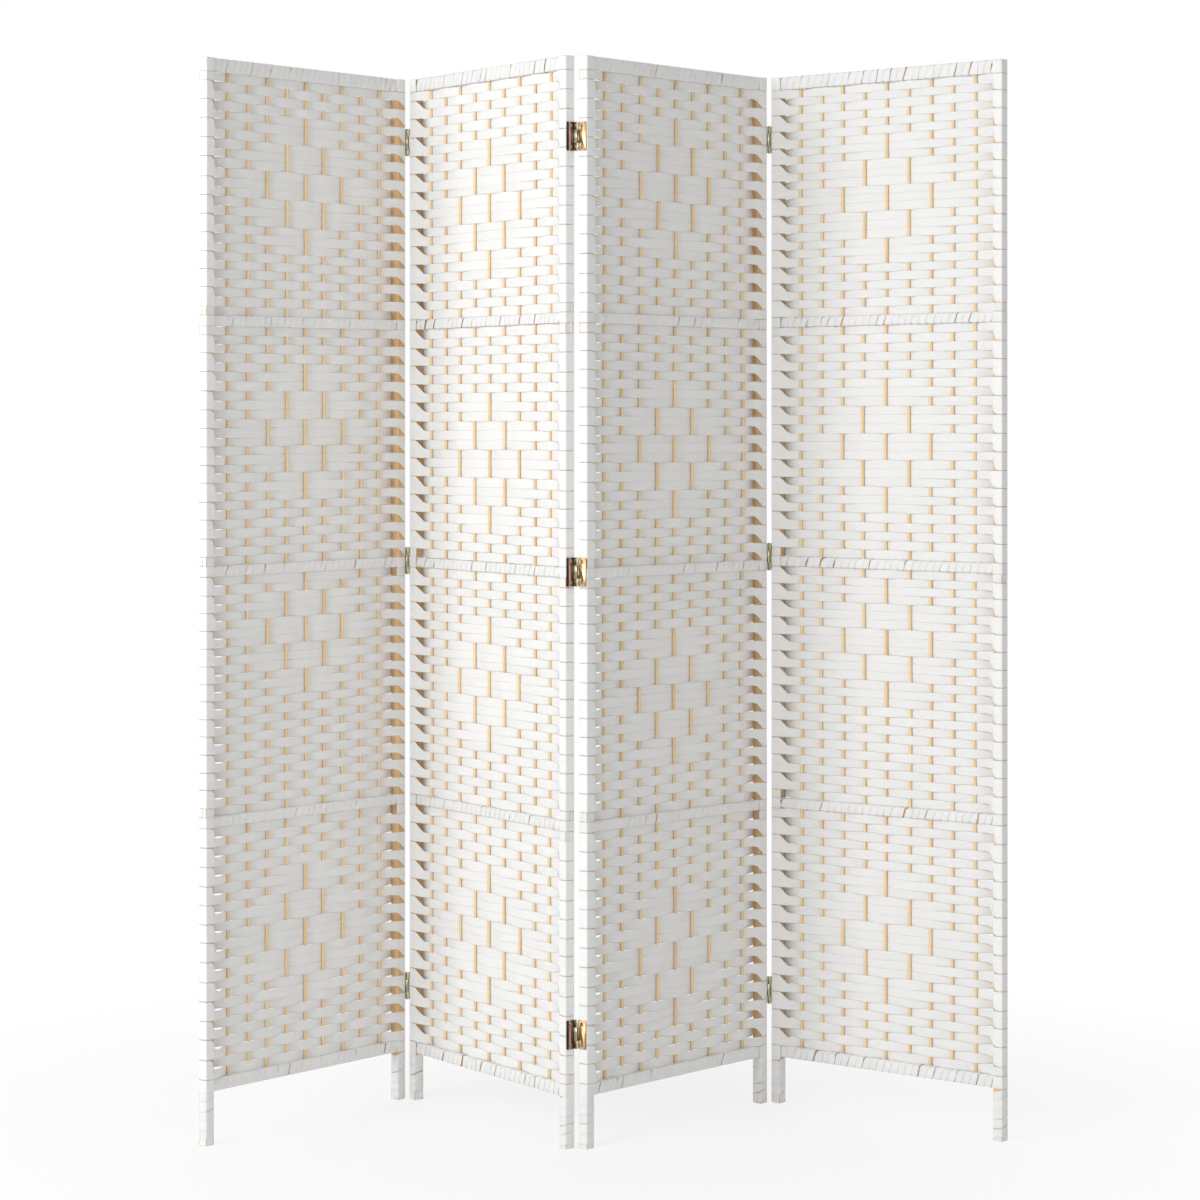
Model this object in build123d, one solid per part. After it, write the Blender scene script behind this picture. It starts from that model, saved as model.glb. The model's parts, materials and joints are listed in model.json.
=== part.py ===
from build123d import *
import os
from math import cos, pi

# Four-panel folding screen of woven paper ribbon, all sizes in millimetres.
# Each panel is drawn flat in its own frame: X runs from its left edge to its right edge,
# Y from its front to its back with zero at mid-thickness, and Z up from the floor.
# The panels are then folded about their hinge pins and the whole is centred on the origin.

# Panels and frame
HEIGHT = 1700.0
PANEL_WIDTH = 450.0
POST_WOOD = 16.0
RIBBON = 1.0
RIBBON_CHAMFER = 1.5
LEG_HEIGHT = 80.0

# Rails: wood inside, with the ribbon wound on them counted in their solids.
# The top and bottom rails are tenoned into the posts, and the middle ones butt against them.
RAIL_WOOD_DEPTH = 12.0
TOP_RAIL_WOOD = 20.0
MIDDLE_RAIL_WOOD = 15.0
BOTTOM_RAIL_WOOD = 18.0
FIRST_MIDDLE_RAIL_DROP = 409.0
MIDDLE_RAIL_PITCH = 396.0
MIDDLE_RAIL_COUNT = 3
TENON_DEPTH = 8.0
TENON_SHOULDER = 3.0
TENON_LENGTH = 7.0
TENON_PLAY = 0.1

# Stakes that the ribbon is woven on
STAKE_COUNT = 9
STAKE_FROM_POST = 38.4
STAKE_DIAMETER = 6.0
STAKE_SIDES = 6
STAKE_PLAY = 0.1
SOCKET_DEPTH = 8.0

# Weave: picks in each section from the top, and the pick at the diamond's middle
SECTION_PICKS = (
    (26, 26, 27, 26),
    (25, 25, 26, 26),
    (25, 26, 26, 26),
    (27, 26, 27, 27),
)
DIAMOND_PICKS = (
    (12, 12, 7, 13),
    (14, 15, 13, 13),
    (12, 14, 14, 15),
    (14, 14, 9, 14),
)
DIAMOND_REACH = 2
FLOAT_PICKS = 3

# Butt hinges, screwed to the ribbon-covered ends of the posts
LEAF_HEIGHT = 45.0
LEAF_THICKNESS = 1.5
LEAF_EDGE_INSET = 1.5
LEAF_GAP = 1.4
BARREL_DIAMETER = 5.0
BARREL_SIDES = 8
BARREL_SINK = 0.8
KNUCKLE_HEIGHT = 12.0
KNUCKLE_PLAY = 0.3
NOTCH_PLAY = 0.3
PIN_DIAMETER = 2.5
PIN_SIDES = 6
PIN_PLAY = 0.05
PIN_OVERHANG = 0.5
SCREW_FROM_END = 6.0
SCREW_HEAD_DIAMETER = 5.6
SCREW_SHANK_DIAMETER = 2.8
SCREW_LENGTH = 14.0
SCREW_PLAY = 0.1
SCREW_SIDES = 6

# Each joint: its lower hinge's height, its middle hinge's rise above the middle one of the
# middle rails, its upper hinge's drop from the top, which faces its pins stand at,
# and which panel's leaf has the two outer knuckles
FRONT = -1
BACK = 1
LOWER_HINGE_HEIGHTS = (188.0, 177.0, 186.0)
MIDDLE_HINGE_RISES = (2.0, 1.0, 10.0)
UPPER_HINGE_DROPS = (105.0, 126.0, 103.0)
PIN_FACES = (FRONT, BACK, FRONT)
OUTER_KNUCKLES = ("right", "left", "right")

# How the photographed screen stands: each panel's turn from the X axis, in degrees
PANEL_TURNS = (49.9, -53.9, 48.5, -39.5)

# How far a cut runs past the piece that it goes through
CUT_PAST = 1.0

# Sizes that follow from the ones above
THICKNESS = POST_WOOD + 2 * RIBBON
POST_INNER = RIBBON + POST_WOOD
RAIL_DEPTH = RAIL_WOOD_DEPTH + 2 * RIBBON
STAKE_RADIUS = STAKE_DIAMETER / 2
WEAVE_INNER = STAKE_RADIUS + STAKE_PLAY
WEAVE_OUTER = WEAVE_INNER + RIBBON
MIDDLE_RAIL_HEIGHT = MIDDLE_RAIL_WOOD + 2 * RIBBON
TOP_RAIL_LOW = HEIGHT - TOP_RAIL_WOOD - 2 * RIBBON
BOTTOM_RAIL_TOP = LEG_HEIGHT + BOTTOM_RAIL_WOOD + 2 * RIBBON
BARREL_RADIUS = BARREL_DIAMETER / 2
PIN_RADIUS = PIN_DIAMETER / 2
PIN_FROM_END = LEAF_THICKNESS + LEAF_GAP / 2
PIN_FROM_MIDDLE = THICKNESS / 2 + BARREL_RADIUS - BARREL_SINK


def block(x_span, y_span, z_span):
    """A block between two values on each axis."""
    size = [span[1] - span[0] for span in (x_span, y_span, z_span)]
    middle = [(span[1] + span[0]) / 2 for span in (x_span, y_span, z_span)]
    return Pos(*middle) * Box(*size)


def prism(x, y, z_span, radius, sides):
    """An upright bar whose section is a regular polygon, one of its corners facing the front."""
    section = Pos(x, y, z_span[0]) * RegularPolygon(radius, sides, rotation=90)
    return extrude(section, amount=z_span[1] - z_span[0])


def mirrored(shape):
    """The same piece for the panel's other post."""
    return Pos(PANEL_WIDTH, 0, 0) * mirror(shape, about=Plane.YZ)


def middle_rail_centres():
    """Height of each middle rail's centre, from the top one down."""
    first = HEIGHT - FIRST_MIDDLE_RAIL_DROP
    return [first - k * MIDDLE_RAIL_PITCH for k in range(MIDDLE_RAIL_COUNT)]


def middle_rail_spans():
    """Low and high edge of each middle rail, from the top one down."""
    half = MIDDLE_RAIL_HEIGHT / 2
    return [(centre - half, centre + half) for centre in middle_rail_centres()]


def rail_spans():
    """Low and high edge of all rails, from the top one down."""
    return [(TOP_RAIL_LOW, HEIGHT)] + middle_rail_spans() + [(LEG_HEIGHT, BOTTOM_RAIL_TOP)]


def section_spans():
    """Low and high edge of each woven section, from the top one down."""
    rails = rail_spans()
    return [(lower[1], upper[0]) for upper, lower in zip(rails, rails[1:])]


def stake_places():
    """Distance of each stake from the panel's left edge."""
    first = POST_INNER + STAKE_FROM_POST
    pitch = (PANEL_WIDTH - 2 * first) / (STAKE_COUNT - 1)
    return [first + k * pitch for k in range(STAKE_COUNT)]


def tenon(rail_span, play=0.0):
    """The reduced end of a rail that sits in the left post."""
    inset = RIBBON + TENON_SHOULDER
    low = rail_span[0] + inset - play
    high = rail_span[1] - inset + play
    half = TENON_DEPTH / 2 + play
    return block((POST_INNER - TENON_LENGTH - play, POST_INNER), (-half, half), (low, high))


def left_post():
    """Square post with a blind mortise for the top rail and one for the bottom rail."""
    half = POST_WOOD / 2
    post = block((RIBBON, POST_INNER), (-half, half), (0, HEIGHT - RIBBON))
    for span in (rail_spans()[0], rail_spans()[-1]):
        post -= tenon(span, TENON_PLAY)
    return post


def left_post_ribbon():
    """Ribbon round the post: three sides beside the weave, all four on the leg, and the cap."""
    half = THICKNESS / 2
    wood = POST_WOOD / 2
    cover = block((0, POST_INNER), (-half, half), (0, HEIGHT))
    outer_edges = cover.edges().filter_by(Axis.Z).sort_by(Axis.X)[:2]
    cover = chamfer(outer_edges, RIBBON_CHAMFER)
    leg_side = block((POST_INNER, THICKNESS), (-half, half), (0, LEG_HEIGHT))
    hollow = block((RIBBON, POST_INNER), (-wood, wood), (0, HEIGHT - RIBBON))
    return cover - hollow + leg_side


def drilled_rail(span, hole_span):
    """Ribbon-wound rail from post to post, drilled for the stakes."""
    half = RAIL_DEPTH / 2
    body = block((POST_INNER, PANEL_WIDTH - POST_INNER), (-half, half), span)
    radius = STAKE_RADIUS + STAKE_PLAY
    return body - [prism(x, 0, hole_span, radius, STAKE_SIDES) for x in stake_places()]


def middle_rail(span):
    """Rail that the stakes pass right through."""
    return drilled_rail(span, span)


def top_rail():
    """Tenoned rail with blind sockets in its underside."""
    span = rail_spans()[0]
    sockets = (span[0], span[0] + SOCKET_DEPTH + STAKE_PLAY)
    return drilled_rail(span, sockets) + tenon(span) + mirrored(tenon(span))


def bottom_rail():
    """Tenoned rail with blind sockets in its top."""
    span = rail_spans()[-1]
    sockets = (span[1] - SOCKET_DEPTH - STAKE_PLAY, span[1])
    return drilled_rail(span, sockets) + tenon(span) + mirrored(tenon(span))


def stakes():
    """Nine rods from the bottom rail's sockets to the top rail's, through every middle rail."""
    span = (BOTTOM_RAIL_TOP - SOCKET_DEPTH, TOP_RAIL_LOW + SOCKET_DEPTH)
    return [prism(x, 0, span, STAKE_RADIUS, STAKE_SIDES) for x in stake_places()]


def weave_outline(half_at_stakes, half_at_posts, x_start):
    """Plan of the weave: as thick as the post at its ends, and at its thinnest past the outer stakes."""
    first = stake_places()[0]
    corners = [
        (x_start, half_at_posts),
        (first, half_at_stakes),
        (PANEL_WIDTH - first, half_at_stakes),
        (PANEL_WIDTH - x_start, half_at_posts),
    ]
    front = [(x, -y) for x, y in corners]
    return front + corners[::-1]


def diamond_floats(middle_pick):
    """Stake number and middle pick of each long mark, where the ribbon leaves a stake bare."""
    middle_stake = STAKE_COUNT // 2
    marks = []
    for row in range(-DIAMOND_REACH, DIAMOND_REACH + 1):
        reach = DIAMOND_REACH - abs(row)
        for column in range(-reach, reach + 1, 2):
            marks.append((middle_stake + column, middle_pick + row * FLOAT_PICKS))
    return marks


def woven_section(span, picks, middle_pick):
    """Ribbon sheet before and behind the stakes, open in front where the diamond shows them."""
    outer = make_face(Polyline(*weave_outline(WEAVE_OUTER, THICKNESS / 2, POST_INNER), close=True))
    inner_points = weave_outline(WEAVE_INNER, THICKNESS / 2 - RIBBON, POST_INNER + RIBBON)
    inner = make_face(Polyline(*inner_points, close=True))
    sheet = extrude(Pos(0, 0, span[0]) * (outer - inner), amount=span[1] - span[0])
    pick_height = (span[1] - span[0]) / picks
    places = stake_places()
    windows = []
    for stake, pick in diamond_floats(middle_pick):
        first_pick = max(pick - 1 - FLOAT_PICKS // 2, 0)
        last_pick = min(pick + FLOAT_PICKS // 2, picks)
        across = (places[stake] - STAKE_RADIUS, places[stake] + STAKE_RADIUS)
        upright = (span[1] - last_pick * pick_height, span[1] - first_pick * pick_height)
        windows.append(block(across, (-WEAVE_OUTER - CUT_PAST, 0), upright))
    return sheet - windows


def hinge_heights(joint):
    """Height of the middle of each of a joint's three hinges."""
    middle = middle_rail_centres()[MIDDLE_RAIL_COUNT // 2] + MIDDLE_HINGE_RISES[joint]
    return LOWER_HINGE_HEIGHTS[joint], middle, HEIGHT - UPPER_HINGE_DROPS[joint]


def knuckle_spans(outer):
    """Heights of one leaf's knuckles, measured from the hinge's middle."""
    top = LEAF_HEIGHT / 2
    if outer:
        return [(-top, KNUCKLE_HEIGHT - top), (top - KNUCKLE_HEIGHT, top)]
    middle = top - KNUCKLE_HEIGHT - KNUCKLE_PLAY
    return [(-middle, middle)]


def screw_places():
    """Y and Z of a leaf's two screws, for pins at the front."""
    across = (THICKNESS / 2 - LEAF_EDGE_INSET - PIN_FROM_MIDDLE + BARREL_RADIUS + NOTCH_PLAY) / 2
    rise = LEAF_HEIGHT / 2 - SCREW_FROM_END
    return [(across, -rise), (across, rise)]


def screw_shape(play=0.0):
    """Countersunk screw along X, its head flush with the leaf's outer face at X = 0."""
    head = SCREW_HEAD_DIAMETER / 2 + play
    shank = SCREW_SHANK_DIAMETER / 2 + play
    plane = Plane.YZ
    wide = plane * RegularPolygon(head, SCREW_SIDES)
    narrow = plane.offset(LEAF_THICKNESS) * RegularPolygon(shank, SCREW_SIDES)
    return loft([wide, narrow])


def leaf(outer):
    """Leaf on a panel's left end at X = 0, with its pin at the front and Z = 0 at half its height.

    The bore has flat sides that clear the pin's corners as the leaf turns.
    """
    half = LEAF_HEIGHT / 2
    back_edge = THICKNESS / 2 - LEAF_EDGE_INSET
    notch_edge = -PIN_FROM_MIDDLE + BARREL_RADIUS + NOTCH_PLAY
    shape = block((-LEAF_THICKNESS, 0), (notch_edge, back_edge), (-half, half))
    for span in knuckle_spans(outer):
        shape += block((-LEAF_THICKNESS, 0), (-PIN_FROM_MIDDLE, notch_edge), span)
        shape += prism(-PIN_FROM_END, -PIN_FROM_MIDDLE, span, BARREL_RADIUS, BARREL_SIDES)
    bore_radius = (PIN_RADIUS + PIN_PLAY) / cos(pi / PIN_SIDES)
    bore_span = (-half - CUT_PAST, half + CUT_PAST)
    shape -= prism(-PIN_FROM_END, -PIN_FROM_MIDDLE, bore_span, bore_radius, PIN_SIDES)
    for y, z in screw_places():
        shape -= Pos(-LEAF_THICKNESS, y, z) * screw_shape(SCREW_PLAY)
    return shape


def screws():
    """The two screws of the leaf above."""
    shank_plane = Plane.YZ.offset(LEAF_THICKNESS)
    section = shank_plane * RegularPolygon(SCREW_SHANK_DIAMETER / 2, SCREW_SIDES)
    shape = screw_shape() + extrude(section, amount=SCREW_LENGTH - LEAF_THICKNESS)
    return [Pos(-LEAF_THICKNESS, y, z) * shape for y, z in screw_places()]


def pin():
    """Hinge pin on the axis of the leaf above."""
    half = LEAF_HEIGHT / 2 + PIN_OVERHANG
    return prism(-PIN_FROM_END, -PIN_FROM_MIDDLE, (-half, half), PIN_RADIUS, PIN_SIDES)


def for_end(shape, end, face):
    """Turns a hinge piece drawn for a left end and front pins to the given end and pin face."""
    if face == BACK:
        shape = mirror(shape, about=Plane.XZ)
    if end == "right":
        shape = mirrored(shape)
    return shape


def pin_place(end, face):
    """Where a joint's pins stand in the frame of the panel on one side of it."""
    x = -PIN_FROM_END if end == "left" else PANEL_WIDTH + PIN_FROM_END
    return Vector(x, face * PIN_FROM_MIDDLE, 0)


def folded_panels():
    """Location of each panel, chained through the pins, with the first panel at the origin."""
    places = [Location((0, 0, 0), (0, 0, PANEL_TURNS[0]))]
    for turn, face in zip(PANEL_TURNS[1:], PIN_FACES):
        axis = (places[-1] * Pos(*pin_place("right", face))).position
        turned = Location((0, 0, 0), (0, 0, turn))
        reach = (turned * Pos(*pin_place("left", face))).position
        places.append(Location(axis - reach, (0, 0, turn)))
    return places


def panel_pieces(number):
    """Every piece of one panel but its hinges, in the panel's frame."""
    picks = SECTION_PICKS[number]
    middles = DIAMOND_PICKS[number]
    sections = [woven_section(*row) for row in zip(section_spans(), picks, middles)]
    return {
        "left_post": [left_post()],
        "right_post": [mirrored(left_post())],
        "left_post_ribbon": [left_post_ribbon()],
        "right_post_ribbon": [mirrored(left_post_ribbon())],
        "top_rail": [top_rail()],
        "middle_rails": [middle_rail(span) for span in middle_rail_spans()],
        "bottom_rail": [bottom_rail()],
        "stakes": stakes(),
        "woven_sections": sections,
    }


def hinge_pieces(joint, places):
    """The three hinges of one joint, each piece already folded into place."""
    face = PIN_FACES[joint]
    name = f"hinge_{joint + 1}{joint + 2}"
    pieces = {f"{name}_pins": []}
    for end, panel in (("right", joint), ("left", joint + 1)):
        side = "left" if end == "right" else "right"
        outer = OUTER_KNUCKLES[joint] == side
        place = places[panel]
        leaf_here = for_end(leaf(outer), end, face)
        screws_here = [for_end(screw, end, face) for screw in screws()]
        rise = [Pos(0, 0, z) for z in hinge_heights(joint)]
        pieces[f"{name}_{side}_leaves"] = [place * up * leaf_here for up in rise]
        pieces[f"{name}_{side}_screws"] = [place * up * s for up in rise for s in screws_here]
        if outer:
            pin_here = for_end(pin(), end, face)
            pieces[f"{name}_pins"] = [place * up * pin_here for up in rise]
    return pieces


def screen_pieces():
    """All pieces by node name, folded as in the photograph."""
    places = folded_panels()
    pieces = {}
    for number, place in enumerate(places):
        for name, solids in panel_pieces(number).items():
            pieces[f"panel_{number + 1}_{name}"] = [place * solid for solid in solids]
    for joint in range(len(PIN_FACES)):
        pieces.update(hinge_pieces(joint, places))
    return pieces


def centre_of(pieces):
    """Middle of the whole screen's plan, which becomes the origin."""
    boxes = [solid.bounding_box() for solids in pieces.values() for solid in solids]
    x = (min(b.min.X for b in boxes) + max(b.max.X for b in boxes)) / 2
    y = (min(b.min.Y for b in boxes) + max(b.max.Y for b in boxes)) / 2
    return Vector(x, y, 0)


def main():
    """Writes each node's file and prints where the joints' axes and the feet stand."""
    os.makedirs("parts", exist_ok=True)
    pieces = screen_pieces()
    centre = centre_of(pieces)
    shift = Pos(-centre.X, -centre.Y, 0)
    for name, solids in pieces.items():
        moved = [shift * solid for solid in solids]
        export_step(Compound(children=moved) if len(moved) > 1 else moved[0], f"parts/{name}.step")
    for joint, face in enumerate(PIN_FACES):
        axis = (shift * folded_panels()[joint] * Pos(*pin_place("right", face))).position
        print(f"pin axis {joint + 1}{joint + 2}: X {axis.X:.4f} Y {axis.Y:.4f}")
    for number, place in enumerate(folded_panels()):
        for end, x in (("left", THICKNESS / 2), ("right", PANEL_WIDTH - THICKNESS / 2)):
            foot = (shift * place * Pos(x, 0, 0)).position
            print(f"foot {number + 1} {end}: X {foot.X:.4f} Y {foot.Y:.4f}")


main()
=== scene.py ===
"""Looks of the folding screen of woven white ribbon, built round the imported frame.

Every panel is worked out flat in its own plan, in millimetres: x from its left edge to its right
edge, y from front to back with zero at mid-thickness, z up from the floor. PanelPlace then puts the
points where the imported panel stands.
"""

import json
import logging
import math
from collections.abc import Iterable, Sequence
from dataclasses import dataclass, field
from enum import Enum

import bpy
import numpy as np
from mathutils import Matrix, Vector


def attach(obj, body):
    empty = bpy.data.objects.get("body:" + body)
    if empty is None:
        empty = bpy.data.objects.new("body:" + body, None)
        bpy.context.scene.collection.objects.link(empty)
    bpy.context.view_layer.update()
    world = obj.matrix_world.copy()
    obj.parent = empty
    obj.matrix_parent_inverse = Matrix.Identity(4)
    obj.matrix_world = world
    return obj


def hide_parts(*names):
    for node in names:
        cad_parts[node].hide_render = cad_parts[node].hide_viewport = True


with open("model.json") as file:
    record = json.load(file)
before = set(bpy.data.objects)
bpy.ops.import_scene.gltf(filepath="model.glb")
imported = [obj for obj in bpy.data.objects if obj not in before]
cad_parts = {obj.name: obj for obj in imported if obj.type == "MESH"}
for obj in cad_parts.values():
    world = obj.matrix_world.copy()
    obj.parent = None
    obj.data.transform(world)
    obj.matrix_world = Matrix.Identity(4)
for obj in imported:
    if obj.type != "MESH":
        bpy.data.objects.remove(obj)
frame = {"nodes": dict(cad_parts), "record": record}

LOG = logging.getLogger("screen")
Array = np.ndarray
Triple = tuple[float, float, float]
Form = tuple[np.ndarray, np.ndarray]
Socket = bpy.types.NodeSocket
Material = bpy.types.Material
MM = 0.001
WHITE = (1.0, 1.0, 1.0, 1.0)

HEIGHT = 1700.0
PANEL_WIDTH = 450.0
POST_WOOD = 16.0
POST_THICK = 18.0
POST_INNER = 17.0
LEG_HEIGHT = 80.0
RIBBON_WIDTH = 15.0
RIBBON_THICK = 0.6
THIN_RIBBON = 0.12
STAKE_RADIUS = 2.95
STAKE_DEPTH = 2.3
STAKE_COUNT = 9
FIRST_STAKE = 55.4
STAKE_PITCH = (PANEL_WIDTH - 2 * FIRST_STAKE) / (STAKE_COUNT - 1)
RAIL_CENTRES = (1689.0, 1291.0, 895.0, 499.0, 90.0)
RAIL_HEIGHTS = (22.0, 17.0, 17.0, 17.0, 20.0)
QUARTER = np.radians([0.0, 22.5, 45.0, 67.5, 90.0])


class Side(Enum):
    """The two sides of a panel, each with the direction in which its post looks outwards."""

    LEFT = -1
    RIGHT = 1

    @property
    def word(self) -> str:
        """The side's name as pieces and nodes have it.

        Returns:
            The name.
        """
        return self.name.lower()


class Line(Enum):
    """The lines along a rail, each with the half heights from its centre."""

    LOW = -1
    CENTRE = 0
    HIGH = 1


def join(*parts: Array | float) -> Array:
    """Joins coordinates into points.

    Args:
        *parts: An array or a number for each coordinate.

    Returns:
        The points, their coordinates along a new last axis.
    """
    return np.stack(np.broadcast_arrays(*parts), axis=-1)


def smooth(share: Array) -> Array:
    """Eases a share from 0 to 1: three times its square less twice its cube.

    Args:
        share: Values, which are first held between 0 and 1.

    Returns:
        The eased values.
    """
    held = np.clip(share, 0.0, 1.0)
    return held * held * (3 - 2 * held)


def round_angles(sides: int) -> Array:
    """Spreads angles evenly round a circle.

    Args:
        sides: How many.

    Returns:
        The angles from 0, in radians.
    """
    return np.linspace(0, 2 * np.pi, sides + 1)[:-1]


def unit(vectors: Array) -> Array:
    """Scales vectors to a length of 1.

    Args:
        vectors: Any array whose last axis holds the coordinates.

    Returns:
        The unit vectors.
    """
    return vectors / np.maximum(np.linalg.norm(vectors, axis=-1, keepdims=True), 1e-9)


def post_corner(outer: float, face: float, radius: float) -> Array:
    """Rounds a post's outer corner, from its face to its outer side.

    The points are outer plus radius times 1 less the sine, and face less radius times 1 less the
    cosine.

    Args:
        outer: Place of the outer side.
        face: Place of the face.
        radius: The corner's radius.

    Returns:
        Points by 2.
    """
    return join(outer + radius * (1 - np.sin(QUARTER)), face - radius * (1 - np.cos(QUARTER)))


@dataclass(frozen=True)
class PanelPlace:
    """Where one panel stands: its left edge at mid-thickness and the way it runs."""

    name: str
    origin: tuple[float, float]
    along: tuple[float, float]

    @classmethod
    def of(cls, number: int) -> "PanelPlace":
        """Reads a panel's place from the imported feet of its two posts.

        Args:
            number: The panel, 1 being the leftmost.

        Returns:
            The panel's place.
        """
        feet = {m["name"]: np.array(m["pos_m"][:2]) / MM for m in frame["record"]["mounts"]}
        left, right = feet[f"foot_{number}_left"], feet[f"foot_{number}_right"]
        along = unit(right - left)
        return cls(f"panel_{number}", tuple(left - along * POST_THICK / 2), tuple(along))

    def world(self, points: Array) -> Array:
        """Turns points of the panel's own plan into metres of the frame.

        Args:
            points: Any array whose last axis is x, y, z in millimetres.

        Returns:
            The same array in the frame: origin plus x along the panel plus y square to it.
        """
        ax, ay = self.along
        x, y, z = np.moveaxis(points, -1, 0)
        return join(self.origin[0] + x * ax - y * ay, self.origin[1] + x * ay + y * ax, z) * MM


@dataclass
class Surface:
    """Gathers grids of points into one mesh, with a UV map and a tone for each strip."""

    points: list[Array] = field(default_factory=list)
    uv: list[Array] = field(default_factory=list)
    tone: list[Array] = field(default_factory=list)
    quads: list[Array] = field(default_factory=list)
    caps: list[list[int]] = field(default_factory=list)
    count: int = 0

    def add_tube(self, points: Array, uv: Array, tone: Array | float = 0.0, closed: bool = False) -> None:
        """Adds a tube: rings of points, each joined to the next and round on itself.

        Args:
            points: Rings by points by 3. A ring may run either way: the faces are turned outwards.
            uv: Rings by points by 2.
            tone: One value for each ring, or for all of them.
            closed: True if the last ring joins the first, otherwise both ends get a cap.
        """
        rings, around = points.shape[:2]
        index = np.arange(rings * around).reshape(rings, around) + self.count
        here = index if closed else index[:-1]
        ahead = np.roll(index, -1, axis=0) if closed else index[1:]
        quads = join(here, np.roll(here, -1, 1), np.roll(ahead, -1, 1), ahead).reshape(-1, 4)
        turn = -1 if self.looks_inwards(points, quads - self.count) else 1
        self.quads.append(quads[:, ::turn])
        if not closed:
            self.caps.append(index[0, ::-turn].tolist())
            self.caps.append(index[-1, ::turn].tolist())
        self.points.append(points.reshape(-1, 3))
        self.uv.append(uv.reshape(-1, 2))
        self.tone.append(np.repeat(np.broadcast_to(tone, rings), around))
        self.count += rings * around

    @staticmethod
    def looks_inwards(points: Array, quads: Array) -> bool:
        """Finds if a tube is inside out, from the sign of the volume that its faces close in.

        Each face adds the box product of its corners about the tube's middle.

        Args:
            points: The tube's points.
            quads: Its faces, as numbers of points.

        Returns:
            True if the faces look inwards.
        """
        flat = points.reshape(-1, 3)
        a, b, c, d = np.moveaxis((flat - flat.mean(axis=0))[quads], 1, 0)
        return bool(np.sum(a * (np.cross(b, c) + np.cross(c, d))) < 0)

    def make(self, name: str, place: PanelPlace, material: Material, slot: str, *nodes: str) -> None:
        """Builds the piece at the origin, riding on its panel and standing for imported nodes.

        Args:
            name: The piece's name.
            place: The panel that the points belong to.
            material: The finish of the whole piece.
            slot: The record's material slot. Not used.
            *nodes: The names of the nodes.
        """
        mesh = bpy.data.meshes.new(name)
        faces = np.concatenate(self.quads).tolist() + self.caps
        mesh.from_pydata(place.world(np.concatenate(self.points)).tolist(), [], faces)
        mesh.polygons.foreach_set("use_smooth", np.ones(len(faces), bool))
        corner = np.zeros(len(mesh.loops), np.int32)
        mesh.loops.foreach_get("vertex_index", corner)
        layer = mesh.uv_layers.new(name="ribbon")
        layer.data.foreach_set("uv", np.concatenate(self.uv)[corner].astype(np.float32).ravel())
        tone = mesh.attributes.new("tone", "FLOAT", "POINT")
        tone.data.foreach_set("value", np.concatenate(self.tone).astype(np.float32))
        mesh.materials.append(material)
        mesh.update()
        piece = bpy.data.objects.new(name, mesh)
        bpy.context.scene.collection.objects.link(piece)
        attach(piece, place.name)
        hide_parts(*nodes)
        LOG.info("%s: %d points, %d faces", name, self.count, len(faces))


@dataclass(frozen=True)
class Grain:
    """A noise: how fine it is along each axis and how many finer layers it has."""

    scale: Triple
    detail: float


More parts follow.
